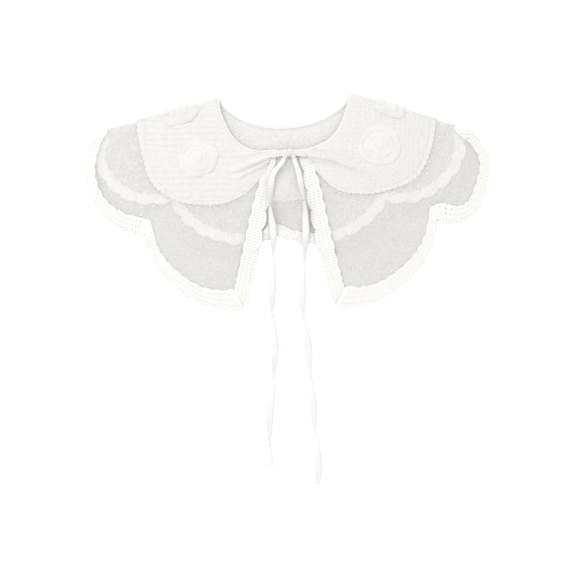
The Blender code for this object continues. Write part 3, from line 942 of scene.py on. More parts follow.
@dataclass
class TieRibbon:
    """A flat tie that turns over again and again on its way down."""

    end: RibbonEnd
    width: float = 0.0090
    narrow_turn: float = math.radians(70.0)
    wall: float = 0.0005
    step: float = 0.0020
    across: int = 8
    cupping: float = 0.0003
    settle: float = 0.0150
    drawn_in: float = 0.62
    full_from: float = 0.0450
    edge_lift: float = 0.46
    # Where the ribbon's hem folds lie, as a share of its half width, and how much shade is painted along
    # them.
    hem_at: float = 0.75
    hem_painted_shade: float = 0.5

    def turn_at(self, along: float) -> float:
        """How far the ribbon is turned at a length from the knot: edge on at the listed lengths."""
        edges = TIE_EDGES[self.end.value]
        pitch = (edges[-1] - edges[0]) / (len(edges) - 1)
        keys = [edges[0] - pitch, *edges, edges[-1] + pitch]
        halves = float(np.interp(along, keys, range(len(keys)))) - 1
        return math.pi / 2 + math.pi * halves

    def build(self) -> bpy.types.Object:
        route = smooth_route(TIE_ROUTES[self.end.value], self.step)
        lengths = lengths_along(route)
        middles, sideways = [], []
        for i, spot in enumerate(route):
            ahead = (route[min(i + 1, len(route) - 1)] - route[max(i - 1, 0)]).normalized()
            side = Vector((ahead.y, -ahead.x, 0.0)).normalized()
            turn = self.turn_at(lengths[i]) * smoothstep(lengths[i] / self.settle)
            tilt = math.asin(math.sin(turn) * math.sin(self.narrow_turn))
            flat = math.copysign(math.cos(tilt), math.cos(turn))
            across = side * flat + Vector((0, 0, math.sin(tilt)))
            middles.append(spot + Vector((0, 0, abs(math.sin(tilt)) * self.width * self.edge_lift)))
            sideways.append(across)

        def place(column: int, row: int) -> Placed:
            """A corner of the ribbon."""
            share = 2 * row / self.across - 1
            across = sideways[column]
            ahead = (middles[min(column + 1, len(route) - 1)] - middles[max(column - 1, 0)]).normalized()
            up = across.cross(ahead).normalized()
            if up.z < 0:
                up = -up
            width = self.width * lerp(self.drawn_in, 1.0, smoothstep(lengths[column] / self.full_from))
            spot = middles[column] + across * share * width / 2
            spot += up * self.cupping * (1 - share ** 2)
            # Painted shade: a darker line along each hem fold.
            darkening = self.hem_painted_shade if math.isclose(abs(share), self.hem_at, abs_tol=0.01) else 0.0
            return spot, darkening, (lengths[column], share * self.width / 2)

        finish = RIBBON.build()
        shape = grid(len(route) - 1, self.across, place)
        thing = make_piece(self.end.value + "_ribbon", shape, finish, self.wall)
        settle_on(thing, "ribbon", self.end.value)
        return thing


# ------------------------------------------------------------------------------ upper collar

@dataclass(frozen=True)
class Crease:
    """A soft ridge or trough, from a place to a place in the row frame."""

    start: Vector
    end: Vector
    width: float
    height: float

    def at(self, place: Vector) -> float:
        """How much it lifts a place."""
        run = self.end - self.start
        share = (place - self.start).dot(run) / run.length_squared
        if not -0.1 < share < 1.1:
            return 0.0
        aside = (place - self.start - run * share).length
        width = self.width * lerp(0.55, 1.25, min(max(share, 0.0), 1.0))
        ends = smoothstep((share + 0.05) / 0.20) * smoothstep((1.05 - share) / 0.55)
        return self.height * ends * math.exp(-((aside / width) ** 2))


# Creases: start x and y, end x and y, half width and height. The cotton's are measured from the knot
# and drawn in by the tie, and the sheer's are in the row frame.
COTTON_CREASES = (
    (-0.030, 0.001, -0.079, -0.005, 0.0024, 0.0013),
    (-0.024, -0.005, -0.084, -0.028, 0.0030, 0.0028),
    (-0.022, -0.011, -0.079, -0.038, 0.0024, 0.0024),
    (-0.024, -0.008, -0.070, -0.030, 0.0018, -0.0012),
    (0.013, -0.001, 0.066, -0.011, 0.0032, 0.0040),
    (0.042, -0.005, 0.102, -0.026, 0.0030, 0.0036),
    (0.014, 0.006, 0.057, 0.004, 0.0024, 0.0014),
    (0.018, -0.0075, 0.088, -0.0265, 0.0022, -0.0014),
)
SHEER_FRONT_CREASES = (
    (-0.168, 0.062, -0.122, -0.070, 0.0060, 0.0011),
    (-0.098, 0.004, -0.070, -0.094, 0.0075, 0.0009),
    (-0.208, 0.040, -0.178, -0.022, 0.0050, 0.0008),
    (0.160, 0.045, 0.118, -0.078, 0.0070, 0.0010),
    (0.202, 0.052, 0.186, -0.012, 0.0048, 0.0009),
    (0.086, -0.008, 0.060, -0.088, 0.0060, 0.0008),
)
SHEER_BACK_CREASES = (
    (-0.118, 0.028, -0.132, -0.040, 0.0062, 0.0008),
    (0.026, 0.010, 0.038, -0.046, 0.0055, 0.0009),
    (0.138, 0.030, 0.130, -0.034, 0.0070, 0.0007),
)


def creases_of(rows: tuple, origin: Vector = Vector((0.0, 0.0))) -> tuple[Crease, ...]:
    """The creases of a table, measured from an origin."""
    return tuple(Crease(origin + Vector(row[0:2]), origin + Vector(row[2:4]), *row[4:6]) for row in rows)


def hem_settle(place: Vector, mean: float = -0.0013, uneven: float = 0.0004, size: float = 0.022) -> float:
    """How the upper collar's hem settles onto the sheer, and lifts off it here and there."""
    return mean + uneven * ripple(place, size, 3.0)


@dataclass
class PuckeredUpper:
    """The upper collar, of puckered cotton: rows of small pillows between drawn threads."""

    front_columns: int = 112
    back_columns: int = 190
    bend_columns: int = 10
    rows: int = 100
    wall: float = 0.0008
    row_pitch: dict = field(default_factory=lambda: {-1: 0.0078, 1: 0.0058})
    pillow_length: dict = field(default_factory=lambda: {-1: 0.0100, 1: 0.0052})
    pillow_height: float = 0.0006
    warp: float = 0.0034
    warp_size: float = 0.0170
    length_spread: tuple[float, float] = (0.8, 1.3)
    smallest: float = 0.35
    roundness: float = 2.2
    soft_ends: float = 0.6
    patch_size: float = 0.030
    patch_contrast: float = 1.1
    least_in_patch: float = 0.45
    # How much shade is painted in the hollows between the pillows.
    hollow_shade: float = 0.35
    smooth_neck: float = 0.0180
    least_at_neck: float = 0.30
    least_at_front: float = 0.25
    smooth_front: float = 0.45
    on_back: float = 0.45
    sunk: float = 0.4
    settles_from: float = 0.025
    grain: dict = field(default_factory=lambda: {-1: math.radians(31.0), 1: math.radians(57.0)})

    def on_grain(self, spot: Vector, station: float) -> tuple[float, float, float]:
        """Place along and across the cloth's threads, and the share of the way to the +X front."""
        share = (min(max(station, -1.0), 1.0) + 1) / 2
        grain = lerp(self.grain[-1], self.grain[1], share)
        along = spot.x * math.cos(grain) + spot.y * math.sin(grain)
        return along, spot.y * math.cos(grain) - spot.x * math.sin(grain), share

    def pillow(self, spot: Vector, station: float) -> tuple[float, float]:
        """Lift of the puckered cloth at a place on the cut, and the shade painted in the hollows between its
        pillows.
        """
        bend = [ripple(spot, self.warp_size, seed) for seed in (1.0, 7.0)]
        spot = spot + Vector(bend) * self.warp
        along, across, share = self.on_grain(spot, station)
        pitch = lerp(self.row_pitch[-1], self.row_pitch[1], round(share))
        length = lerp(self.pillow_length[-1], self.pillow_length[1], round(share))
        row = math.floor(across / pitch)
        in_row = across / pitch - row
        count = along / (length * lerp(*self.length_spread, scatter(row, 3.0))) + scatter(row, 5.0)
        index = math.floor(count)
        in_pillow = count - index
        size = lerp(self.smallest, 1.0, scatter(row, index, 2.0))
        ridge = 1.0 - abs(2 * in_row - 1) ** self.roundness
        ends = 1.0 - lerp(self.soft_ends, 1.0, share) * abs(2 * in_pillow - 1) ** self.roundness
        shape = size * ridge * ends
        patches = smoothstep(0.5 + self.patch_contrast * ripple(spot, self.patch_size, 11.0))
        lift = self.pillow_height * shape * lerp(self.least_in_patch, 1.0, patches)
        # Painted shade, darkest in the hollows between the pillows.
        return lift, self.hollow_shade * (1.0 - ridge * ends)

    def build(self) -> bpy.types.Object:
        """Makes the upper collar's cotton."""
        columns = whole_round(self.front_columns, self.back_columns, self.bend_columns)
        creases = creases_of(COTTON_CREASES, middle_of("tie_knot")[0])

        def place(column: int, row: int) -> Placed:
            """A corner of the cotton."""
            station, turn = columns[column]
            start = cloth_start(station, cotton_front)
            end = upper_radius(upper_angle(station)) - PICOT_WIDTH
            radius = lerp(start, end, row / self.rows)
            angle = angle_at(station, radius, cotton_front)
            spot = on_cut(angle, radius)
            lift, painted_shade = self.pillow(spot, station)
            strength = lerp(self.least_at_neck, 1.0, smoothstep((radius - start) / self.smooth_neck))
            if abs(station) > 1:
                from_front = smoothstep((2.0 - abs(station)) / self.smooth_front)
                strength *= lerp(self.least_at_front, 1.0, from_front)
            strength *= self.on_back if turn == 0 else 1.0
            laid = lay(station, turn, radius, cotton_front, COTTON_LAY)
            lift = (lift - self.pillow_height * self.sunk) * strength
            laid = laid + right_side(station, turn) * lift
            if turn == math.pi:
                laid.z += sum(c.at(laid.xy) for c in creases)
                laid.z += hem_settle(laid.xy) * smoothstep(1 - (end - radius) / self.settles_from)
            along, across, _ = self.on_grain(spot, station)
            return laid, painted_shade * strength, (along, across)

        shape = grid(len(columns) - 1, self.rows, place)
        thing = make_piece("upper_cotton", shape, PUCKERED_COTTON.build(), self.wall)
        return settle_on(thing, "puckered_cotton", "upper_collar")


# ------------------------------------------------------------------------------ lower collar

@dataclass
class DottedLower:
    """The lower collar, of sheer cloth with small woven dots."""

    scallop_columns: int = 34
    bend_columns: int = 8
    rows: int = 70
    wall: float = 0.0003
    dot_across: float = 0.0135
    dot_along: float = 0.0100
    dot_radius: float = 0.00105
    dot_height: float = 0.00016
    dot_corners: int = 8
    bare_neck: float = 0.008
    bare_hem: float = 0.001
    bare_fold: float = 0.01
    widest_dot: float = 136.0
    last_dot: float = 1.985
    grain: float = math.radians(44.0)
    wave: float = 0.0004
    wave_size: float = 0.070
    crumple: float = 0.00006
    crumple_size: float = 0.020
    lowest: float = -0.0002
    past_hem: float = 0.0008
    front_creases: tuple[Crease, ...] = creases_of(SHEER_FRONT_CREASES)
    back_creases: tuple[Crease, ...] = creases_of(SHEER_BACK_CREASES)

    def hem_at(self, station: float) -> float:
        """Radius of the sheer's hem at a station."""
        return sheer_hem(hem_angle(station))

    def drape(self, laid: Vector, turn: float) -> float:
        """Soft waves, creases and crumples of the cloth."""
        creases, seed = (self.front_creases, 2.0) if turn else (self.back_creases, 8.0)
        wave = self.wave * ripple(laid.xy, self.wave_size, seed)
        crumple = self.crumple * ripple(laid.xy, self.crumple_size, 4.0)
        return wave + sum(c.at(laid.xy) for c in creases) + crumple

    def spot(self, station: float, turn: float, radius: float) -> Vector:
        """Where a place on the sheer lies, with its drape."""
        laid = lay(station, turn, radius, sheer_front, SHEER_LAY)
        laid.z += max(self.drape(laid, turn), self.lowest)
        return TIPS.pull(laid)

    def columns(self) -> list[Column]:
        """Columns that fall on every notch of the hem."""
        zones: list[list[float]] = [[], [], []]
        for index in range(len(SCALLOPS)):
            zone = zones[sum(index >= notch for notch in FOLD_NOTCHES)]
            zone += even(*scallop_ends(index), self.scallop_columns)[1 if zone else 0:]
        return with_bends(*zones, self.bend_columns)

    def build(self) -> bpy.types.Object:
        """Makes the sheer cloth."""
        columns = self.columns()

        def place(column: int, row: int) -> Placed:
            """A corner of the sheer."""
            station, turn = columns[column]
            start = cloth_start(station, sheer_front)
            radius = lerp(start, self.hem_at(station) + self.past_hem, row / self.rows)
            spot = on_cut(angle_at(station, radius, sheer_front), radius)
            return self.spot(station, turn, radius), 0.0, (spot.x, spot.y)

        shape = grid(len(columns) - 1, self.rows, place)
        thing = make_piece("lower_sheer", shape, DOTTED_SHEER.build(), self.wall)
        return settle_on(thing, "dotted_sheer", "lower_collar")

    def on_sheer(self, place: Vector) -> Optional[Vector]:
        """Where a place on the cut lies, on the sheer's top, or nothing where there is no sheer."""
        radius, angle = place.length, angle_of(place)
        starts, ends = neck_radius(angle) + self.bare_neck, sheer_hem(angle) - self.bare_hem
        if not starts < radius < ends or abs(angle) > self.widest_dot:
            return None
        station = station_at(angle, radius, sheer_front)
        if abs(station) > self.last_dot or abs(abs(station) - 1) < self.bare_fold:
            return None
        laid = self.spot(station, 0 if abs(station) < 1 else math.pi, radius)
        return laid + Vector((0, 0, self.wall / 2 + self.dot_height))

    def dot_places(self) -> list[list[Vector]]:
        """Rim of every dot, on a staggered grid along the cloth's threads."""
        count = round(NOTCHES[-1][1] / self.dot_along)
        turns = [math.tau * k / self.dot_corners for k in range(self.dot_corners)]
        rim = [Vector((math.cos(turn), math.sin(turn))) for turn in turns]
        places = []
        for i in range(-count, count + 1):
            for j in range(-count, count + 1):
                along = i * self.dot_across
                across = (j + (0.5 if i % 2 else 0.0)) * self.dot_along
                x = along * math.cos(self.grain) - across * math.sin(self.grain)
                y = along * math.sin(self.grain) + across * math.cos(self.grain)
                middle = Vector((x, y))
                laid = [self.on_sheer(middle + way * self.dot_radius) for way in rim]
                if all(laid):
                    places.append(laid)
        return places

    def build_dots(self) -> bpy.types.Object:
        """Makes the dots as one piece: flat round tufts that follow the cloth."""
        shape = bmesh.new()
        for laid in self.dot_places():
            made = bmesh.ops.create_circle(shape, cap_ends=True, segments=len(laid), radius=self.dot_radius)
            for corner, spot in zip(made["verts"], laid):
                corner.co = spot
        for face in shape.faces:
            face.normal_update()
            if face.normal.z < 0:
                face.normal_flip()
        thing = make_piece("sheer_dots", shape, SHEER_DOT.build())
        return settle_on(thing, "dotted_sheer")


# ------------------------------------------------------------------------------ laces

@dataclass(frozen=True)
class LacePattern:
    """One cell of a lace across its width: rows of holes between cords.

    lines: shares of the width at which the rows of corners run.
    heights: how high the cords stand at each line, in cord heights.
    holes: the middle line of each row of holes.
    cell, repeat: a cell's length, and how many cells make one scallop of the edge.
    wave, step, picot, rib: reach of the edge's scallops, the inner edge's steps, the picots and the ribs.
    open, corner_open: how wide a hole stands open, as a share of its cell, and less at its corners.
    wave_bend, wave_middle, step_pace, step_zone: shape of the scallops and of the steps.
    tight, slack_size, lift_size: the tightest a hole is pulled, and the size of its and the lift's lumps.
    """

    lines: tuple[float, ...]
    heights: tuple[float, ...]
    holes: tuple[int, ...]
    cell: float
    repeat: int
    wave: float
    step: float
    picot: float
    rib: float
    open: float
    finish: WovenFinish
    corner_open: float = 0.80
    wave_bend: float = 0.7
    wave_middle: float = 1.4
    step_pace: float = 1.45
    step_zone: float = 0.22
    tight: float = 0.45
    slack_size: float = 0.028
    lift_size: float = 0.016


WIDE_LACE = LacePattern(
    lines=(0.0, 0.05, 0.11, 0.18, 0.25, 0.32, 0.39, 0.46, 0.53, 0.60, 0.67, 0.735, 0.80, 0.865, 0.93, 0.97,
           1.0),
    heights=(-0.4, 0.3, 0.4, *[0.3] * 11, 0.4, 0.4, 0.2),
    holes=(4, 8, 12), cell=0.0033, repeat=7, wave=0.0018, step=0.0007, picot=0.00030, rib=0.00030,
    open=0.34, finish=COTTON_LACE,
)
PICOT_LACE = LacePattern(
    lines=(0.0, 0.14, 0.28, 0.40, 0.52, 0.64, 0.76, 0.88, 1.0),
    heights=(0.1, 0.4, 0.2, 0.2, 0.2, 0.2, 0.3, 0.4, 0.0),
    holes=(4,), cell=0.0024, repeat=3, wave=0.0008, step=0.0, picot=0.00020, rib=0.00020,
    open=0.34, finish=PICOT_COTTON,
)
CORNERS_A_CELL = 4
CORD_HEIGHT = 0.0009
LACE_WALL = 0.0006
# At each corner of a cell: how high its rib stands, and how much shade is painted there, most where the hole
# opens between the ribs.
RIB_AT_CORNER = (1.0, 0.35, -0.20, 0.35)
PAINTED_SHADE_AT_CORNER = (0.0, 0.17, 0.34, 0.17)
HOLE_CORNER = 2
PLAIN_COLUMNS = 3
WIDE_LACE_LIFT = 0.0004
PICOT_LIFT = 0.0002


@dataclass
class LaceColumn:
    """A line across a lace: its inner and outer ends, the way it faces, and its corner in a cell."""

    inner: Vector
    outer: Vector
    facing: Vector
    corner: int
    cell: int
    bare: bool = False


def build_lace(name: str, pattern: LacePattern, columns: list[LaceColumn], lift: float) -> bpy.types.Object:
    """A lace with open holes, from lines across it.

    Args:
        name: the piece's name.
        pattern: what repeats along it.
        columns: its lines, four to a cell.
        lift: how much it waves up and down.

    Returns:
        The piece.
    """
    rows = len(pattern.lines) - 1
    cut = [
        (i, middle) for i, column in enumerate(columns) if column.corner == HOLE_CORNER and not column.bare
        for middle in pattern.holes
    ]
    lengths = lengths_along([column.outer for column in columns])

    def place(index: int, row: int) -> Placed:
        """A corner of the lace."""
        column = columns[index]
        share = pattern.lines[row]
        in_repeat = (column.cell + column.corner / CORNERS_A_CELL) / pattern.repeat
        wave = 2.0 * abs(math.sin(math.pi * in_repeat)) ** pattern.wave_bend - pattern.wave_middle
        picot = -math.cos(math.tau * column.corner / CORNERS_A_CELL)
        width = (column.outer - column.inner).length
        past = (pattern.wave * wave + pattern.picot * picot) * smoothstep((share - 0.5) / 0.5)
        step = math.sin(math.tau * in_repeat * pattern.step_pace + 2.0 * ripple(column.inner.xy, 0.05, 9.0))
        past -= pattern.step * step * smoothstep(1 - share / pattern.step_zone)
        share = share + past / max(width, 0.001)
        spot = column.inner.lerp(column.outer, share)
        near = [m for m in pattern.holes if abs(row - m) <= 1]
        if near and column.corner and not column.bare:
            centre = columns[index + (HOLE_CORNER - column.corner)]
            lump = ripple(centre.outer.xy, pattern.slack_size, 13.0)
            slack = lerp(pattern.tight, 1.0, smoothstep(0.5 + 1.3 * lump))
            middle = centre.inner.lerp(centre.outer, pattern.lines[near[0]] + past / max(width, 0.001))
            at_corner = column.corner != HOLE_CORNER and row != near[0]
            spot = middle.lerp(spot, pattern.open * slack * (pattern.corner_open if at_corner else 1.0))
        rib = pattern.rib * RIB_AT_CORNER[column.corner]
        high = pattern.heights[row] * CORD_HEIGHT + rib + lift * ripple(spot.xy, pattern.lift_size, 5.0)
        # Painted shade between the ribs, stronger in the band of holes.
        in_band = pattern.holes[0] - 2 <= row <= pattern.holes[-1] + 2
        darkening = PAINTED_SHADE_AT_CORNER[column.corner] * (1.0 if in_band else 0.5)
        laid = TIPS.pull(spot + column.facing * high)
        laid.z = max(laid.z, LACE_WALL / 2)
        return laid, darkening, (lengths[index], share * width)

    shape = grid(len(columns) - 1, rows, place, cut)
    return make_piece(name, shape, pattern.finish.build(), LACE_WALL)


def spaced_stations(fine: list[float], edge: list[Vector], pattern: LacePattern,
                    least: int = 1) -> list[float]:
    """Stations of a lace's lines, evenly spaced along its edge, a whole number of repeats.

    Args:
        fine: stations close together along the edge.
        edge: where each of them lies on the cut.
        pattern: what repeats along the lace.
        least: the fewest repeats there may be.

    Returns:
        The stations, four to a cell and one more.
    """
    along = lengths_along(edge)
    repeats = max(least, round(along[-1] / (pattern.cell * pattern.repeat)))
    steps = repeats * pattern.repeat * CORNERS_A_CELL
    at = np.interp(np.linspace(0, along[-1], steps + 1), along, np.arange(len(edge)))
    return [float(np.interp(a, range(len(fine)), fine)) for a in at]


@dataclass
class HemLace:
    """The wide lace round all eight scallops of the lower collar."""

    samples: int = 240
    bend_columns: int = 8
    straight_within: float = 0.0180
    plain_at_notch: int = 7

    def scallop_stations(self, index: int) -> list[float]:
        """Stations of a scallop's lines, evenly spaced along its edge."""
        fine = even(*scallop_ends(index), self.samples)
        edge = [on_cut(angle, hem_radius(angle)) for angle in map(hem_angle, fine)]
        return spaced_stations(fine, edge, WIDE_LACE, least=2)

    def line(self, station: float, turn: float, inner_station: float, corner: int, cell: int,
             bare: bool) -> LaceColumn:
        """One line across the lace."""
        outer = lay(station, turn, hem_radius(hem_angle(station)), mitre_front, SHEER_LAY)
        inner = lay(inner_station, turn, sheer_hem(hem_angle(inner_station)), sheer_front, SHEER_LAY)
        facing = right_side(station, turn)
        return LaceColumn(inner, outer, Vector((facing.x, facing.y, abs(facing.z))), corner, cell, bare)

    def straightened(self, stations: list[float]) -> list[float]:
        """Inner ends of a scallop's lines, moved so that each line runs square to the edge."""
        angles = [hem_angle(s) for s in stations]
        points = [on_cut(a, hem_radius(a)) for a in angles]
        along = lengths_along(points)
        moved = []
        for i, (station, angle, point) in enumerate(zip(stations, angles, points)):
            run = points[min(i + 1, len(points) - 1)] - points[max(i - 1, 0)]
            inward = Vector((-run.y, run.x)).normalized()
            if inward.dot(point) > 0:
                inward = -inward
            foot = point + inward * look_up(HEM_LACE_WIDTH, abs(angle))
            free = min(along[i], along[-1] - along[i]) / self.straight_within
            change = station_at(angle_of(foot), NOMINAL_HEM, lace_front) - station
            moved.append(station + change * smoothstep(free))
        moved[0], moved[-1] = stations[0], stations[-1]
        for i in range(1, len(moved)):
            moved[i] = min(max(moved[i], moved[i - 1]), stations[-1])
        return moved

    def columns(self) -> list[LaceColumn]:
        """Every line of the lace from one front corner to the other."""
        found: list[LaceColumn] = []
        cell = 0
        for index in range(len(SCALLOPS)):
            stations = self.scallop_stations(index)
            inner = self.straightened(stations)
            turn = 0.0 if FOLD_NOTCHES[0] <= index < FOLD_NOTCHES[1] else math.pi
            if index in FOLD_NOTCHES:
                side = -1.0 if index == FOLD_NOTCHES[0] else 1.0
                turns = bends(self.bend_columns)
                for bend in reversed(turns) if side < 0 else turns:
                    found.append(self.line(side, bend, side, 0, cell, True))
            skip = 0 if index == 0 or index in FOLD_NOTCHES else 1
            for i in range(skip, len(stations)):
                near_end = min(i, len(stations) - 1 - i) < self.plain_at_notch
                found.append(self.line(stations[i], turn, inner[i], i % CORNERS_A_CELL,
                                       cell + i // CORNERS_A_CELL, near_end))
            cell += len(stations) // CORNERS_A_CELL
        return found

    def build(self) -> bpy.types.Object:
        """Makes the hem's lace."""
        thing = build_lace("hem_lace_edging", WIDE_LACE, self.columns(), WIDE_LACE_LIFT)
        return settle_on(thing, "cotton_lace", "hem_lace")


@dataclass
class FrontLace:
    """The wide lace down one front edge."""

    side: int
    node: str
    square_until: float = 0.0260
    droop: float = 0.0014

    def columns(self) -> list[LaceColumn]:
        """Every line of the lace from the neck to the front corner."""
        side = self.side
        start = cloth_start(2 * side, lace_front)
        end_angle = side * lace_front(side, NOMINAL_HEM)
        corner = sheer_hem(end_angle)
        outer_end = hem_radius(end_angle)
        cells = round((outer_end - start) / (WIDE_LACE.cell * WIDE_LACE.repeat)) * WIDE_LACE.repeat
        count = cells * CORNERS_A_CELL
        bend_from = corner - self.square_until
        found = []
        for i, radius in enumerate(even(start, outer_end, count)):
            past = max(radius - bend_from, 0.0) / (outer_end - bend_from)
            inner_radius = radius if past == 0 else lerp(bend_from, corner, past ** 0.85)
            inner_angle = sheer_front(side, inner_radius)
            inner = lay(2 * side, math.pi, inner_radius, lambda _s, _r: inner_angle, SHEER_LAY)
            outer_angle = lace_front(side, radius)
            outer = lay(2 * side, math.pi, radius, lambda _s, _r: outer_angle, SHEER_LAY)
            outer.z = max(outer.z - self.droop, SHEER_WALL / 2)
            near_end = min(i, count - i) < PLAIN_COLUMNS
            found.append(LaceColumn(inner, outer, Vector((0, 0, 1)), i % CORNERS_A_CELL,
                                    i // CORNERS_A_CELL, near_end))
        return found

    def build(self) -> bpy.types.Object:
        """Makes the front edge's lace."""
        thing = build_lace(self.node + "_edging", WIDE_LACE, self.columns(), WIDE_LACE_LIFT)
        return settle_on(thing, "cotton_lace", self.node)


@dataclass
class PicotEdging:
    """The narrow lace round the upper collar."""

    samples: int = 900
    bend_columns: int = 6
    tucked_in: float = 0.0004
    under_hem: float = 0.0005

    def zone(self, start: float, end: float) -> list[float]:
        """Stations of a zone's lines, evenly spaced along its edge, a whole number of repeats."""
        fine = even(start, end, self.samples)
        edge = [on_cut(angle, upper_radius(angle)) for angle in map(upper_angle, fine)]
        return spaced_stations(fine, edge, PICOT_LACE)

    def line(self, station: float, turn: float, corner: int, cell: int, bare: bool) -> LaceColumn:
        """One line across the edging, which lifts a little with the hem it is sewn to."""
        edge = upper_radius(upper_angle(station))
        ends = []
        for radius in (edge - PICOT_WIDTH - self.tucked_in, edge):
            spot = lay(station, turn, radius, cotton_front, COTTON_LAY)
            if turn == math.pi:
                spot.z += hem_settle(spot.xy) - self.under_hem
            ends.append(spot)
        return LaceColumn(ends[0], ends[1], right_side(station, turn), corner, cell, bare)

    def build(self) -> bpy.types.Object:
        """Makes the picot edging."""
        columns: list[LaceColumn] = []
        cell = 0
        turns = bends(self.bend_columns)
        for start, end, turn in ((-2.0, -1.0, math.pi), (-1.0, 1.0, 0.0), (1.0, 2.0, math.pi)):
            if turn == 0.0:
                columns += [self.line(start, bend, 0, cell, True) for bend in reversed(turns)]
            elif start > 0.0:
                columns += [self.line(start, bend, 0, cell, True) for bend in turns]
            stations = self.zone(start, end)
            for i, station in enumerate(stations):
                near_end = min(i, len(stations) - 1 - i) < PLAIN_COLUMNS
                columns.append(self.line(station, turn, i % CORNERS_A_CELL,
                                         cell + i // CORNERS_A_CELL, near_end))
            cell += len(stations) // CORNERS_A_CELL
        thing = build_lace("picot_edging", PICOT_LACE, columns, PICOT_LIFT)
        return settle_on(thing, "cotton_lace", "upper_picot_edging")


# ------------------------------------------------------------------------------ neck binding

@dataclass
class NeckBinding:
    """A folded strip round the neckline."""

    front_columns: int = 70
    back_columns: int = 120
    bend_columns: int = 8
    round_it: int = 12
    thick: float = 0.0026
    flatness: float = 0.75
    puckers: float = 0.10
    pucker_size: float = 0.0045

    def build(self) -> bpy.types.Object:
        """Makes the binding as a soft flat tube."""
        columns = whole_round(self.front_columns, self.back_columns, self.bend_columns)

        def place(column: int, row: int) -> Placed:
            """A corner of the binding."""
            station, turn = columns[column]
            angle = neck_angle(station)
            around = math.tau * row / self.round_it
            out, up = (
                math.copysign(abs(part) ** self.flatness, part) * size / 2
                for part, size in ((math.cos(around), BINDING_WIDTH), (math.sin(around), self.thick))
            )
            spot = lay(station, turn, neck_radius(angle) + BINDING_WIDTH / 2 + out, lace_front, BINDING_LAY)
            pucker = 1.0 + self.puckers * ripple(spot.xy, self.pucker_size, 6.0)
            spot = spot + right_side(station, turn) * up * pucker
            return spot, 0.0, (math.radians(angle) * NOMINAL_NECK, out)

        shape = grid(len(columns) - 1, self.round_it, place, closed=True)
        thing = make_piece("neck_binding_strip", shape, BINDING.build())
        return settle_on(thing, "puckered_cotton", "neck_binding")


# ------------------------------------------------------------------------------ rosettes

@dataclass
class RosetteLayer:
    """One gathered ring of a rosette, puffed up between its gathers and its rolled rim, with painted shade in
    its folds and a painted shadow along its rim.
    """

    node: str
    inner_share: float
    rise: float
    crest: float
    seed: float
    lobes: int
    shift: Vector
    landing: float
    least: float
    most_at: float = math.radians(-40.0)
    folds: float = 0.00030
    squash: float = 0.90
    # How strong the painted shade and the painted shadow on the rim are.
    shade: float = 0.60
    mean_rim: float = 0.92
    uneven_rim: float = 0.13
    lobed_rim: float = 0.035
    lump: float = 0.00050
    gathers: float = 0.00012
    lowest: float = -0.0010
    around: int = 160
    out: int = 18
    wall: float = 0.0007

    def build(self) -> bpy.types.Object:
        """Makes the ring in its solid's place, low and soft."""
        centre, radius = middle_of(self.node)

        def place(column: int, row: int) -> Placed:
            """A corner of the ring."""
            turn, t = math.tau * column / self.around, row / self.out
            side = Vector((math.cos(turn), math.sin(turn)))
            uneven = ripple(side * 0.02, 0.016, self.seed)
            lobe = abs(math.sin(self.lobes * turn / 2 + 2.2 * uneven)) ** 0.6
            rim = radius * (self.mean_rim + self.uneven_rim * uneven + self.lobed_rim * lobe)
            # The lower right side, away from the lamp, where the rim gets a painted shadow.
            shadowed_side = smoothstep((math.cos(turn - self.most_at) - 0.1) / 0.8)
            side.y *= self.squash
            out = lerp(self.inner_share * radius, rim, t)
            arch = math.sin(math.pi * min(t * 0.86 + 0.14, 1.0))
            arch = arch ** lerp(0.7, self.landing, t)
            fold = (1.0 - lobe) * smoothstep(t / 0.4) * smoothstep((1.15 - t) / 0.4)
            gather = math.sin(self.lobes * 4 * turn + 5.0 * ripple(side * 0.02, 0.011, self.seed + 3))
            spot = side * out + centre + self.shift * radius * (1.0 - t)
            shown = lerp(self.least, 1.0, 0.5 + 0.5 * math.cos(turn - self.most_at))
            height = COLLAR_HIGH.z + self.rise + self.crest * shown * arch * (0.88 + 0.22 * uneven)
            height += self.gathers * gather * (1.0 - t) - self.folds * fold
            height += self.lump * ripple(spot, 0.009, self.seed)
            # Painted shade in the folds and under the ring's inner edge, and a painted shadow along the rim
            # on the lower right.
            darkening = 0.3 * fold + 0.30 * self.shade * smoothstep((0.16 - t) / 0.16)
            darkening += self.shade * shadowed_side * smoothstep((t - 0.82) / 0.14)
            height = max(height, COLLAR_HIGH.z + self.lowest)
            return Vector((spot.x, spot.y, height)), darkening, (out * turn, out)

        shape = grid(self.around, self.out, place)
        bmesh.ops.remove_doubles(shape, verts=shape.verts, dist=TOUCHING)
        thing = make_piece(self.node + "_frill", shape, ROSETTE_COTTON.build(), self.wall)
        return settle_on(thing, "puckered_cotton", self.node)


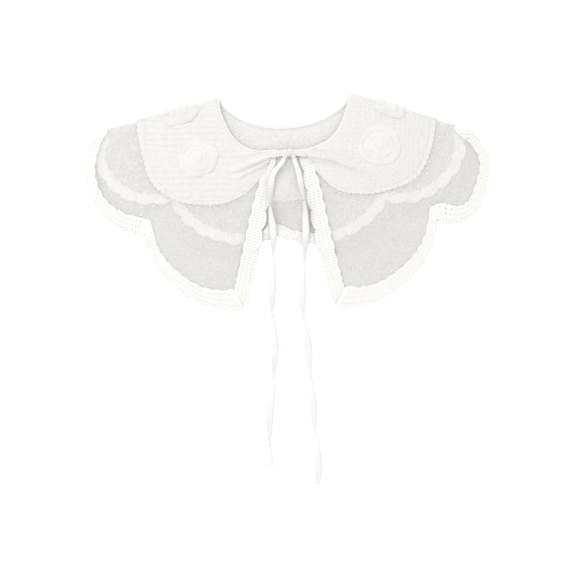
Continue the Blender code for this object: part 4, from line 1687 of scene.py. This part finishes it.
@dataclass
class RosetteBud:
    """The rolled middle of a rosette: a small soft dome with a spiral fold."""

    node: str
    rise: float
    crest: float
    shift: Vector
    turns: float = 1.6
    spread_out: float = 1.35
    fold_depth: float = 0.00060
    fold_width: float = 0.16
    middle_share: float = 0.04
    lump: float = 0.0004
    around: int = 64
    out: int = 18
    wall: float = 0.0006

    def build(self) -> bpy.types.Object:
        """Makes the bud in its solid's place."""
        centre, half = middle_of(self.node)
        radius = half * self.spread_out

        def place(column: int, row: int) -> Placed:
            """A corner of the dome."""
            turn, t = math.tau * column / self.around, row / self.out
            share = lerp(self.middle_share, 1.0, t)
            spiral = (share * self.turns - turn / math.tau) % 1.0
            fold = math.exp(-((min(spiral, 1 - spiral) / self.fold_width) ** 2)) * min(1.0, share * 2.5)
            fold *= smoothstep((1.0 - share) / 0.25)
            dome = max(0.0, 1 - share ** 2.2)
            side = Vector((math.cos(turn), math.sin(turn)))
            spot = centre + self.shift * radius * (1 - share) + side * radius * share
            height = COLLAR_HIGH.z + self.rise + self.crest * dome - self.fold_depth * fold
            height += self.lump * ripple(spot, 0.006, 2.0)
            # Painted shade in the spiral fold.
            return Vector((spot.x, spot.y, height)), 0.5 * fold, (radius * share * turn, radius * share)

        shape = grid(self.around, self.out, place)
        bmesh.ops.remove_doubles(shape, verts=shape.verts, dist=TOUCHING)
        rim = [e for e in shape.edges if e.is_boundary]
        inner = min(e.calc_length() for e in rim)
        bmesh.ops.holes_fill(shape, edges=[e for e in rim if e.calc_length() < 3 * inner], sides=0)
        thing = make_piece(self.node + "_roll", shape, ROSETTE_COTTON.build(), self.wall)
        return settle_on(thing, "puckered_cotton", self.node)


# Each flap's share of the rosette, height above the fold, shift along it and seed.
SHOULDER_FLAPS = ((1.0, 0.0014, 0.0, 4.0), (0.62, 0.0026, -0.10, 7.0), (0.22, 0.0030, -0.66, 9.0))


@dataclass
class ShoulderRosette:
    """A gathered rosette sewn over a shoulder fold, so that it lies half on the front."""

    node: str
    side: int
    reach: float
    puff: float
    within: float = 0.98
    wrap_share: float = 0.34
    wrap_from: float = math.radians(80.0)
    sunk_ends: float = 0.0020
    ends_from: float = 0.74
    tucked: float = 0.0009
    lump: float = 0.0005
    rim_shade: float = 0.35
    along: int = 72
    out: int = 34
    wall: float = 0.0008

    def flap(self, size: float, base: float, shift: float, seed: float) -> bmesh.types.BMesh:
        """One flap, bent over the fold.

        Args:
            size: its share of the rosette's length and reach.
            base: how far its sheet lies from the fold's middle.
            shift: how far it is moved along the fold, in half lengths.
            seed: picks its lumps.
        """
        centre, half = middle_of(self.node)
        half *= self.within
        corner, along, away = fold_frame(self.side)
        middle = corner + along * (centre - corner).dot(along)
        axis = (COTTON_BACK + COTTON_OVER) / 2

        def place(column: int, row: int) -> Placed:
            """A corner of a flap."""
            s, t = 2 * column / self.along - 1, row / self.out
            bow = max(0.0, 1 - abs(s) ** 2.6) ** 0.5
            lump = ripple(Vector((s, 0.0)), 0.42, seed)
            pleat = 0.5 + 0.5 * math.sin(5.0 * s + 2.5 * ripple(Vector((s, 0.0)), 0.6, seed + 2))
            sunk = self.sunk_ends * smoothstep((abs(s) - self.ends_from) / 0.26)
            out = base + self.puff * (0.5 + 0.5 * pleat) * bow - sunk
            if t < self.wrap_share:
                turn = lerp(self.wrap_from, math.pi, t / self.wrap_share)
                inward, height, share = -out * math.sin(turn), axis - out * math.cos(turn), 0.0
            else:
                share = (t - self.wrap_share) / (1 - self.wrap_share)
                inward = self.reach * size * share * bow * (1 + 0.12 * lump)
                arch = math.cos(math.pi / 2 * share) ** 0.8
                height = axis + base + (out - base) * arch - self.tucked * (1 - arch)
            spot = middle + along * half * (shift + size * s * (1 + 0.05 * lump)) - away * inward
            height += self.lump * ripple(spot, 0.009, seed)
            # Painted shade in the troughs of the pleats and along the flap's rim.
            darkening = 0.5 * (1 - pleat) + self.rim_shade * smoothstep((share - 0.85) / 0.15)
            return Vector((spot.x, spot.y, height)), darkening, (spot.x, spot.y)

        return grid(self.along, self.out, place)

    def build(self) -> bpy.types.Object:
        """Makes the rosette's two flaps and the small knob at its neck end."""
        base = (COTTON_OVER - COTTON_BACK) / 2
        parts = [
            self.flap(size, base + above, shift * self.side, seed)
            for size, above, shift, seed in SHOULDER_FLAPS
        ]
        thing = make_piece(self.node + "_flaps", joined(parts), ROSETTE_COTTON.build(), self.wall)
        return settle_on(thing, "puckered_cotton", self.node)


# Each front rosette's side, seed and puff.
ROSETTES = (("left", 2.0, 1.0), ("right", 5.0, 0.62))
# Each shoulder rosette's side, name, reach and puff.
SHOULDER_ROSETTES = (
    (-1, "shoulder_rosette_left", 0.0180, 0.0022),
    (1, "shoulder_rosette_right", 0.0120, 0.0012),
)


# ------------------------------------------------------------------------------ knot

# Each strand's points, its width at each and its thickness. A point inside the knot is measured from
# the knot's middle, with y in half lengths of the knot. The others are in the row frame.
KNOT_STRANDS = (
    (((False, -0.0290, 0.0588, 0.0066), (False, -0.0190, 0.0586, 0.0077), (False, -0.0085, 0.0596, 0.0084),
      (True, 0.0010, 0.2, 0.0010), (False, 0.0066, 0.0533, 0.0087)),
     (0.0090, 0.0098, 0.0070, 0.0046, 0.0054), 0.0015),
    (((False, 0.0290, 0.0602, 0.0066), (False, 0.0190, 0.0600, 0.0077), (False, 0.0090, 0.0600, 0.0082),
      (True, -0.0005, 0.1, -0.0004), (False, -0.0066, 0.0533, 0.0085)),
     (0.0092, 0.0104, 0.0074, 0.0046, 0.0054), 0.0015),
    (((True, 0.0018, 0.80, -0.0020), (True, 0.0012, 0.45, 0.0018), (True, -0.0002, -0.20, 0.0021),
      (True, -0.0014, -0.75, -0.0018)),
     (0.0044, 0.0054, 0.0052, 0.0046), 0.0013),
)


@dataclass
class HalfKnot:
    """The half knot at the centre front: two ribbons that cross under a short loop."""

    round_it: int = 24
    pleats: float = 2.5
    pleat_depth: float = 0.00030

    def strand(self, points: list[Vector], widths: list[float], thick: float) -> bmesh.types.BMesh:
        """A soft flat strand through points, with a width at each."""
        route = smooth_route(tuple(tuple(p) for p in points), 0.0007)
        count = len(route) - 1

        def place(column: int, row: int) -> Placed:
            """A corner of the strand."""
            ahead = (route[min(column + 1, count)] - route[max(column - 1, 0)]).normalized()
            side = ahead.cross(Vector((0, 0, 1)))
            side = side.normalized() if side.length > 0.2 else Vector((1, 0, 0))
            up = side.cross(ahead).normalized()
            width = float(np.interp(column / count, np.linspace(0, 1, len(widths)), widths))
            around = math.tau * row / self.round_it
            pleat = math.cos(self.pleats * math.pi * math.cos(around) + 1.4 * column / count)
            spot = route[column] + side * math.cos(around) * width / 2
            spot += up * (math.sin(around) * thick / 2 + self.pleat_depth * pleat * abs(math.sin(around)))
            # Painted shade in the troughs of the pleats.
            return spot, 0.35 - 0.35 * pleat, (column / count * 0.02, around * 0.001)

        return grid(count, self.round_it, place, closed=True)

    def build(self) -> bpy.types.Object:
        """Makes the knot in its solid's place."""
        low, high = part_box("tie_knot")
        middle, half = (low + high) / 2, (high - low) / 2
        parts = []
        for from_middle, widths, thick in KNOT_STRANDS:
            points = [
                middle + Vector((x, half.y * y, z)) if inside else Vector((x, y, z))
                for inside, x, y, z in from_middle
            ]
            parts.append(self.strand(points, list(widths), thick))
        thing = make_piece("half_knot", joined(parts), BINDING.build())
        return settle_on(thing, "ribbon", "tie_knot")


# ------------------------------------------------------------------------------ stitches

@dataclass
class Stitches:
    """Rows of small stitches along the seams."""

    length: float = 0.0018
    thick: float = 0.00045
    pitch: float = 0.0031
    in_from_edge: float = 0.0015
    on_lace: float = 0.0007
    on_cotton: float = 0.00105

    def row(self, shape: bmesh.types.BMesh, line: list[Vector]) -> None:
        """Adds one row of stitches along a line."""
        lengths = lengths_along(line)
        count = int(lengths[-1] / self.pitch)
        points = np.array(line)
        for i in range(count):
            at = (i + 0.5) * self.pitch
            spot = Vector([float(np.interp(at, lengths, points[:, k])) for k in range(3)])
            ahead = Vector([float(np.interp(at + 0.001, lengths, points[:, k])) for k in range(3)]) - spot
            made = bmesh.ops.create_uvsphere(shape, u_segments=6, v_segments=4, radius=0.5)
            turn = ahead.to_track_quat("X", "Z").to_matrix()
            bmesh.ops.scale(shape, vec=(self.length, self.thick, self.thick), verts=made["verts"])
            bmesh.ops.rotate(shape, cent=(0, 0, 0), matrix=turn, verts=made["verts"])
            bmesh.ops.translate(shape, vec=spot, verts=made["verts"])

    def lines(self, past: float, steps: int, on_seam: Callable[[float, float], Vector]) -> list[list[Vector]]:
        """A seam's lines on each front and on the back, which stop short of the folds and of its ends."""
        zones = ((-past, -1.03, math.pi), (-0.97, 0.97, 0.0), (1.03, past, math.pi))
        return [[on_seam(s, turn) for s in even(start, end, steps)] for start, end, turn in zones]

    def on_binding(self, station: float, turn: float) -> Vector:
        """A place along the neck binding's outer edge."""
        radius = neck_radius(neck_angle(station)) + BINDING_WIDTH * 0.70
        return lay(station, turn, radius, lace_front, BINDING_LAY) + Vector((0, 0, self.on_cotton))

    def on_lace_edge(self, station: float, turn: float) -> Vector:
        """A place along the wide lace's inner edge, where it is sewn over the sheer's hem."""
        radius = sheer_hem(hem_angle(station)) + self.in_from_edge
        return lay(station, turn, radius, sheer_front, SHEER_LAY) + Vector((0, 0, self.on_lace))

    def build(self) -> bpy.types.Object:
        """Makes every row as one piece."""
        shape = bmesh.new()
        for line in self.lines(1.96, 60, self.on_binding) + self.lines(1.94, 260, self.on_lace_edge):
            self.row(shape, line)
        thing = make_piece("seam_stitches", shape, THREAD.build())
        return settle_on(thing, "puckered_cotton")


# ------------------------------------------------------------------------------ studio

@dataclass
class Studio:
    """A pale floor, with painted shade under the cloth and a painted glow in the open, soft light and a
    camera that looks straight down.
    """

    view_width: float = 0.7114
    camera_height: float = 2.0
    sensor: float = 36.0
    floor_size: float = 6.0
    floor_gap: float = 0.0004
    view_centre: Vector = Vector((-0.0012, -0.1066))
    contact: float = 0.0100
    clear_between: tuple = (0.30, 0.70)
    # The floor's painted shade under the cloth, and the strength of its painted glow in the open.
    painted_shade_under_cloth: tuple = (0.52, 0.52, 0.51)
    floor_glow: float = 0.30
    in_the_open: tuple = (0.97, 0.97, 0.97)
    sky: float = 1.05
    lamp_power: float = 19.0
    lamp_size: float = 1.8
    lamp_place: tuple = (-1.2, 1.1, 1.9)

    def camera(self) -> None:
        """Makes the camera."""
        data = bpy.data.cameras.new("camera")
        data.sensor_width = self.sensor
        data.lens = self.sensor * self.camera_height / self.view_width
        thing = bpy.data.objects.new("camera", data)
        thing.location = (self.view_centre.x, self.view_centre.y, self.camera_height)
        bpy.context.scene.collection.objects.link(thing)
        bpy.context.scene.camera = thing

    def floor(self) -> None:
        """Makes the floor, painted grey as shade where the cloth lies close over it and glowing in the open.
        """
        shape = bmesh.new()
        bmesh.ops.create_grid(shape, x_segments=1, y_segments=1, size=self.floor_size / 2)
        drop = Vector((0, 0, CAD_BOX[0][2] - self.floor_gap))
        bmesh.ops.translate(shape, vec=drop, verts=shape.verts)
        nodes = Nodes("pale floor")
        nodes.set(Roughness=1.0, Specular_IOR_Level=0.0)
        # Painted shade and light: the floor turns grey where the cloth lies close over it, and glows in the
        # open, which washes out shadows there.
        near = nodes.add("ShaderNodeAmbientOcclusion", samples=40, Distance=self.contact)
        clear = nodes.spread(near.outputs["AO"], *self.clear_between)
        colour = nodes.colour_between(clear, self.painted_shade_under_cloth, self.in_the_open)
        nodes.link(colour, nodes.shader.inputs["Base Color"])
        nodes.set(Emission_Color=(1.0, 1.0, 1.0, 1.0))
        nodes.link(nodes.scaled(clear, self.floor_glow), nodes.shader.inputs["Emission Strength"])
        make_piece("floor", shape, nodes.material)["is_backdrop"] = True

    def lights(self) -> None:
        """Makes the soft light: a bright sky and a broad lamp from the upper left."""
        world = bpy.data.worlds.new("white room")
        world.use_nodes = True
        world.node_tree.nodes["Background"].inputs["Color"].default_value = (1.0, 1.0, 1.0, 1.0)
        world.node_tree.nodes["Background"].inputs["Strength"].default_value = self.sky
        bpy.context.scene.world = world
        lamp = bpy.data.lights.new("broad lamp", "AREA")
        lamp.shape = "SQUARE"
        lamp.size = self.lamp_size
        lamp.energy = self.lamp_power
        thing = bpy.data.objects.new("broad lamp", lamp)
        thing.location = self.lamp_place
        thing.rotation_euler = (Vector((0, 0, 0)) - thing.location).to_track_quat("-Z", "Y").to_euler()
        bpy.context.scene.collection.objects.link(thing)
        bpy.context.scene.view_settings.view_transform = "Standard"


def build_rosette(name: str, seed: float, puff: float) -> list[bpy.types.Object]:
    """A front rosette's outer ruffle, inner ruffle and bud.

    Args:
        name: the side that it is on.
        seed: picks its lumps.
        puff: how far it stands up, beside the fuller one.

    Returns:
        The three pieces.
    """
    node = f"rosette_{name}"
    aside = Vector((-0.10, 0.09))
    # How strong the painted shade and shadow are, less on the flatter rosette.
    shade = 0.75 * puff ** 2
    outer = RosetteLayer(node + "_outer_ruffle", inner_share=0.40, rise=-0.0008, crest=0.0026 * puff,
                         seed=seed, lobes=5, shift=aside, landing=1.3, least=lerp(0.45, 0.12, puff),
                         shade=shade)
    inner = RosetteLayer(node + "_inner_ruffle", inner_share=0.15, rise=0.0004, crest=0.0028 * puff,
                         seed=seed + 8, lobes=3, shift=aside, landing=lerp(1.4, 0.8, puff), least=0.50,
                         shade=shade)
    bud = RosetteBud(node + "_bud", rise=0.0024 * puff, crest=0.0024 * puff, shift=aside)
    return [outer.build(), inner.build(), bud.build()]


def declare_sheets() -> None:
    """Works out the size and area of each tier's flat cut, which nothing then uses."""
    size, area = flat_size(lambda a: neck_radius(a) + BINDING_WIDTH, lambda a: upper_radius(a) - PICOT_WIDTH,
                           cotton_front)
    size, area = flat_size(lambda a: neck_radius(a) + BINDING_WIDTH, sheer_hem, sheer_front)


def main() -> None:
    """Builds the collar, piece by piece, and its studio."""
    logging.basicConfig(level=logging.INFO, format="%(message)s")
    studio = Studio()
    studio.camera()
    for end in RibbonEnd:
        TieRibbon(end).build()
    knot = HalfKnot().build()
    upper = PuckeredUpper().build()
    picots = PicotEdging().build()
    lower_maker = DottedLower()
    lower = lower_maker.build()
    dots = lower_maker.build_dots()
    laces = [HemLace().build()]
    for side, node in ((-1, "front_lace_left"), (1, "front_lace_right")):
        laces.append(FrontLace(side, node).build())
    binding = NeckBinding().build()
    rosettes = [part for name, seed, puff in ROSETTES for part in build_rosette(name, seed, puff)]
    rosettes += [
        ShoulderRosette(name, side, reach, puff).build() for side, name, reach, puff in SHOULDER_ROSETTES
    ]
    stitches = Stitches().build()
    declare_sheets()
    studio.floor()
    studio.lights()


if __name__ == "__main__":
    main()
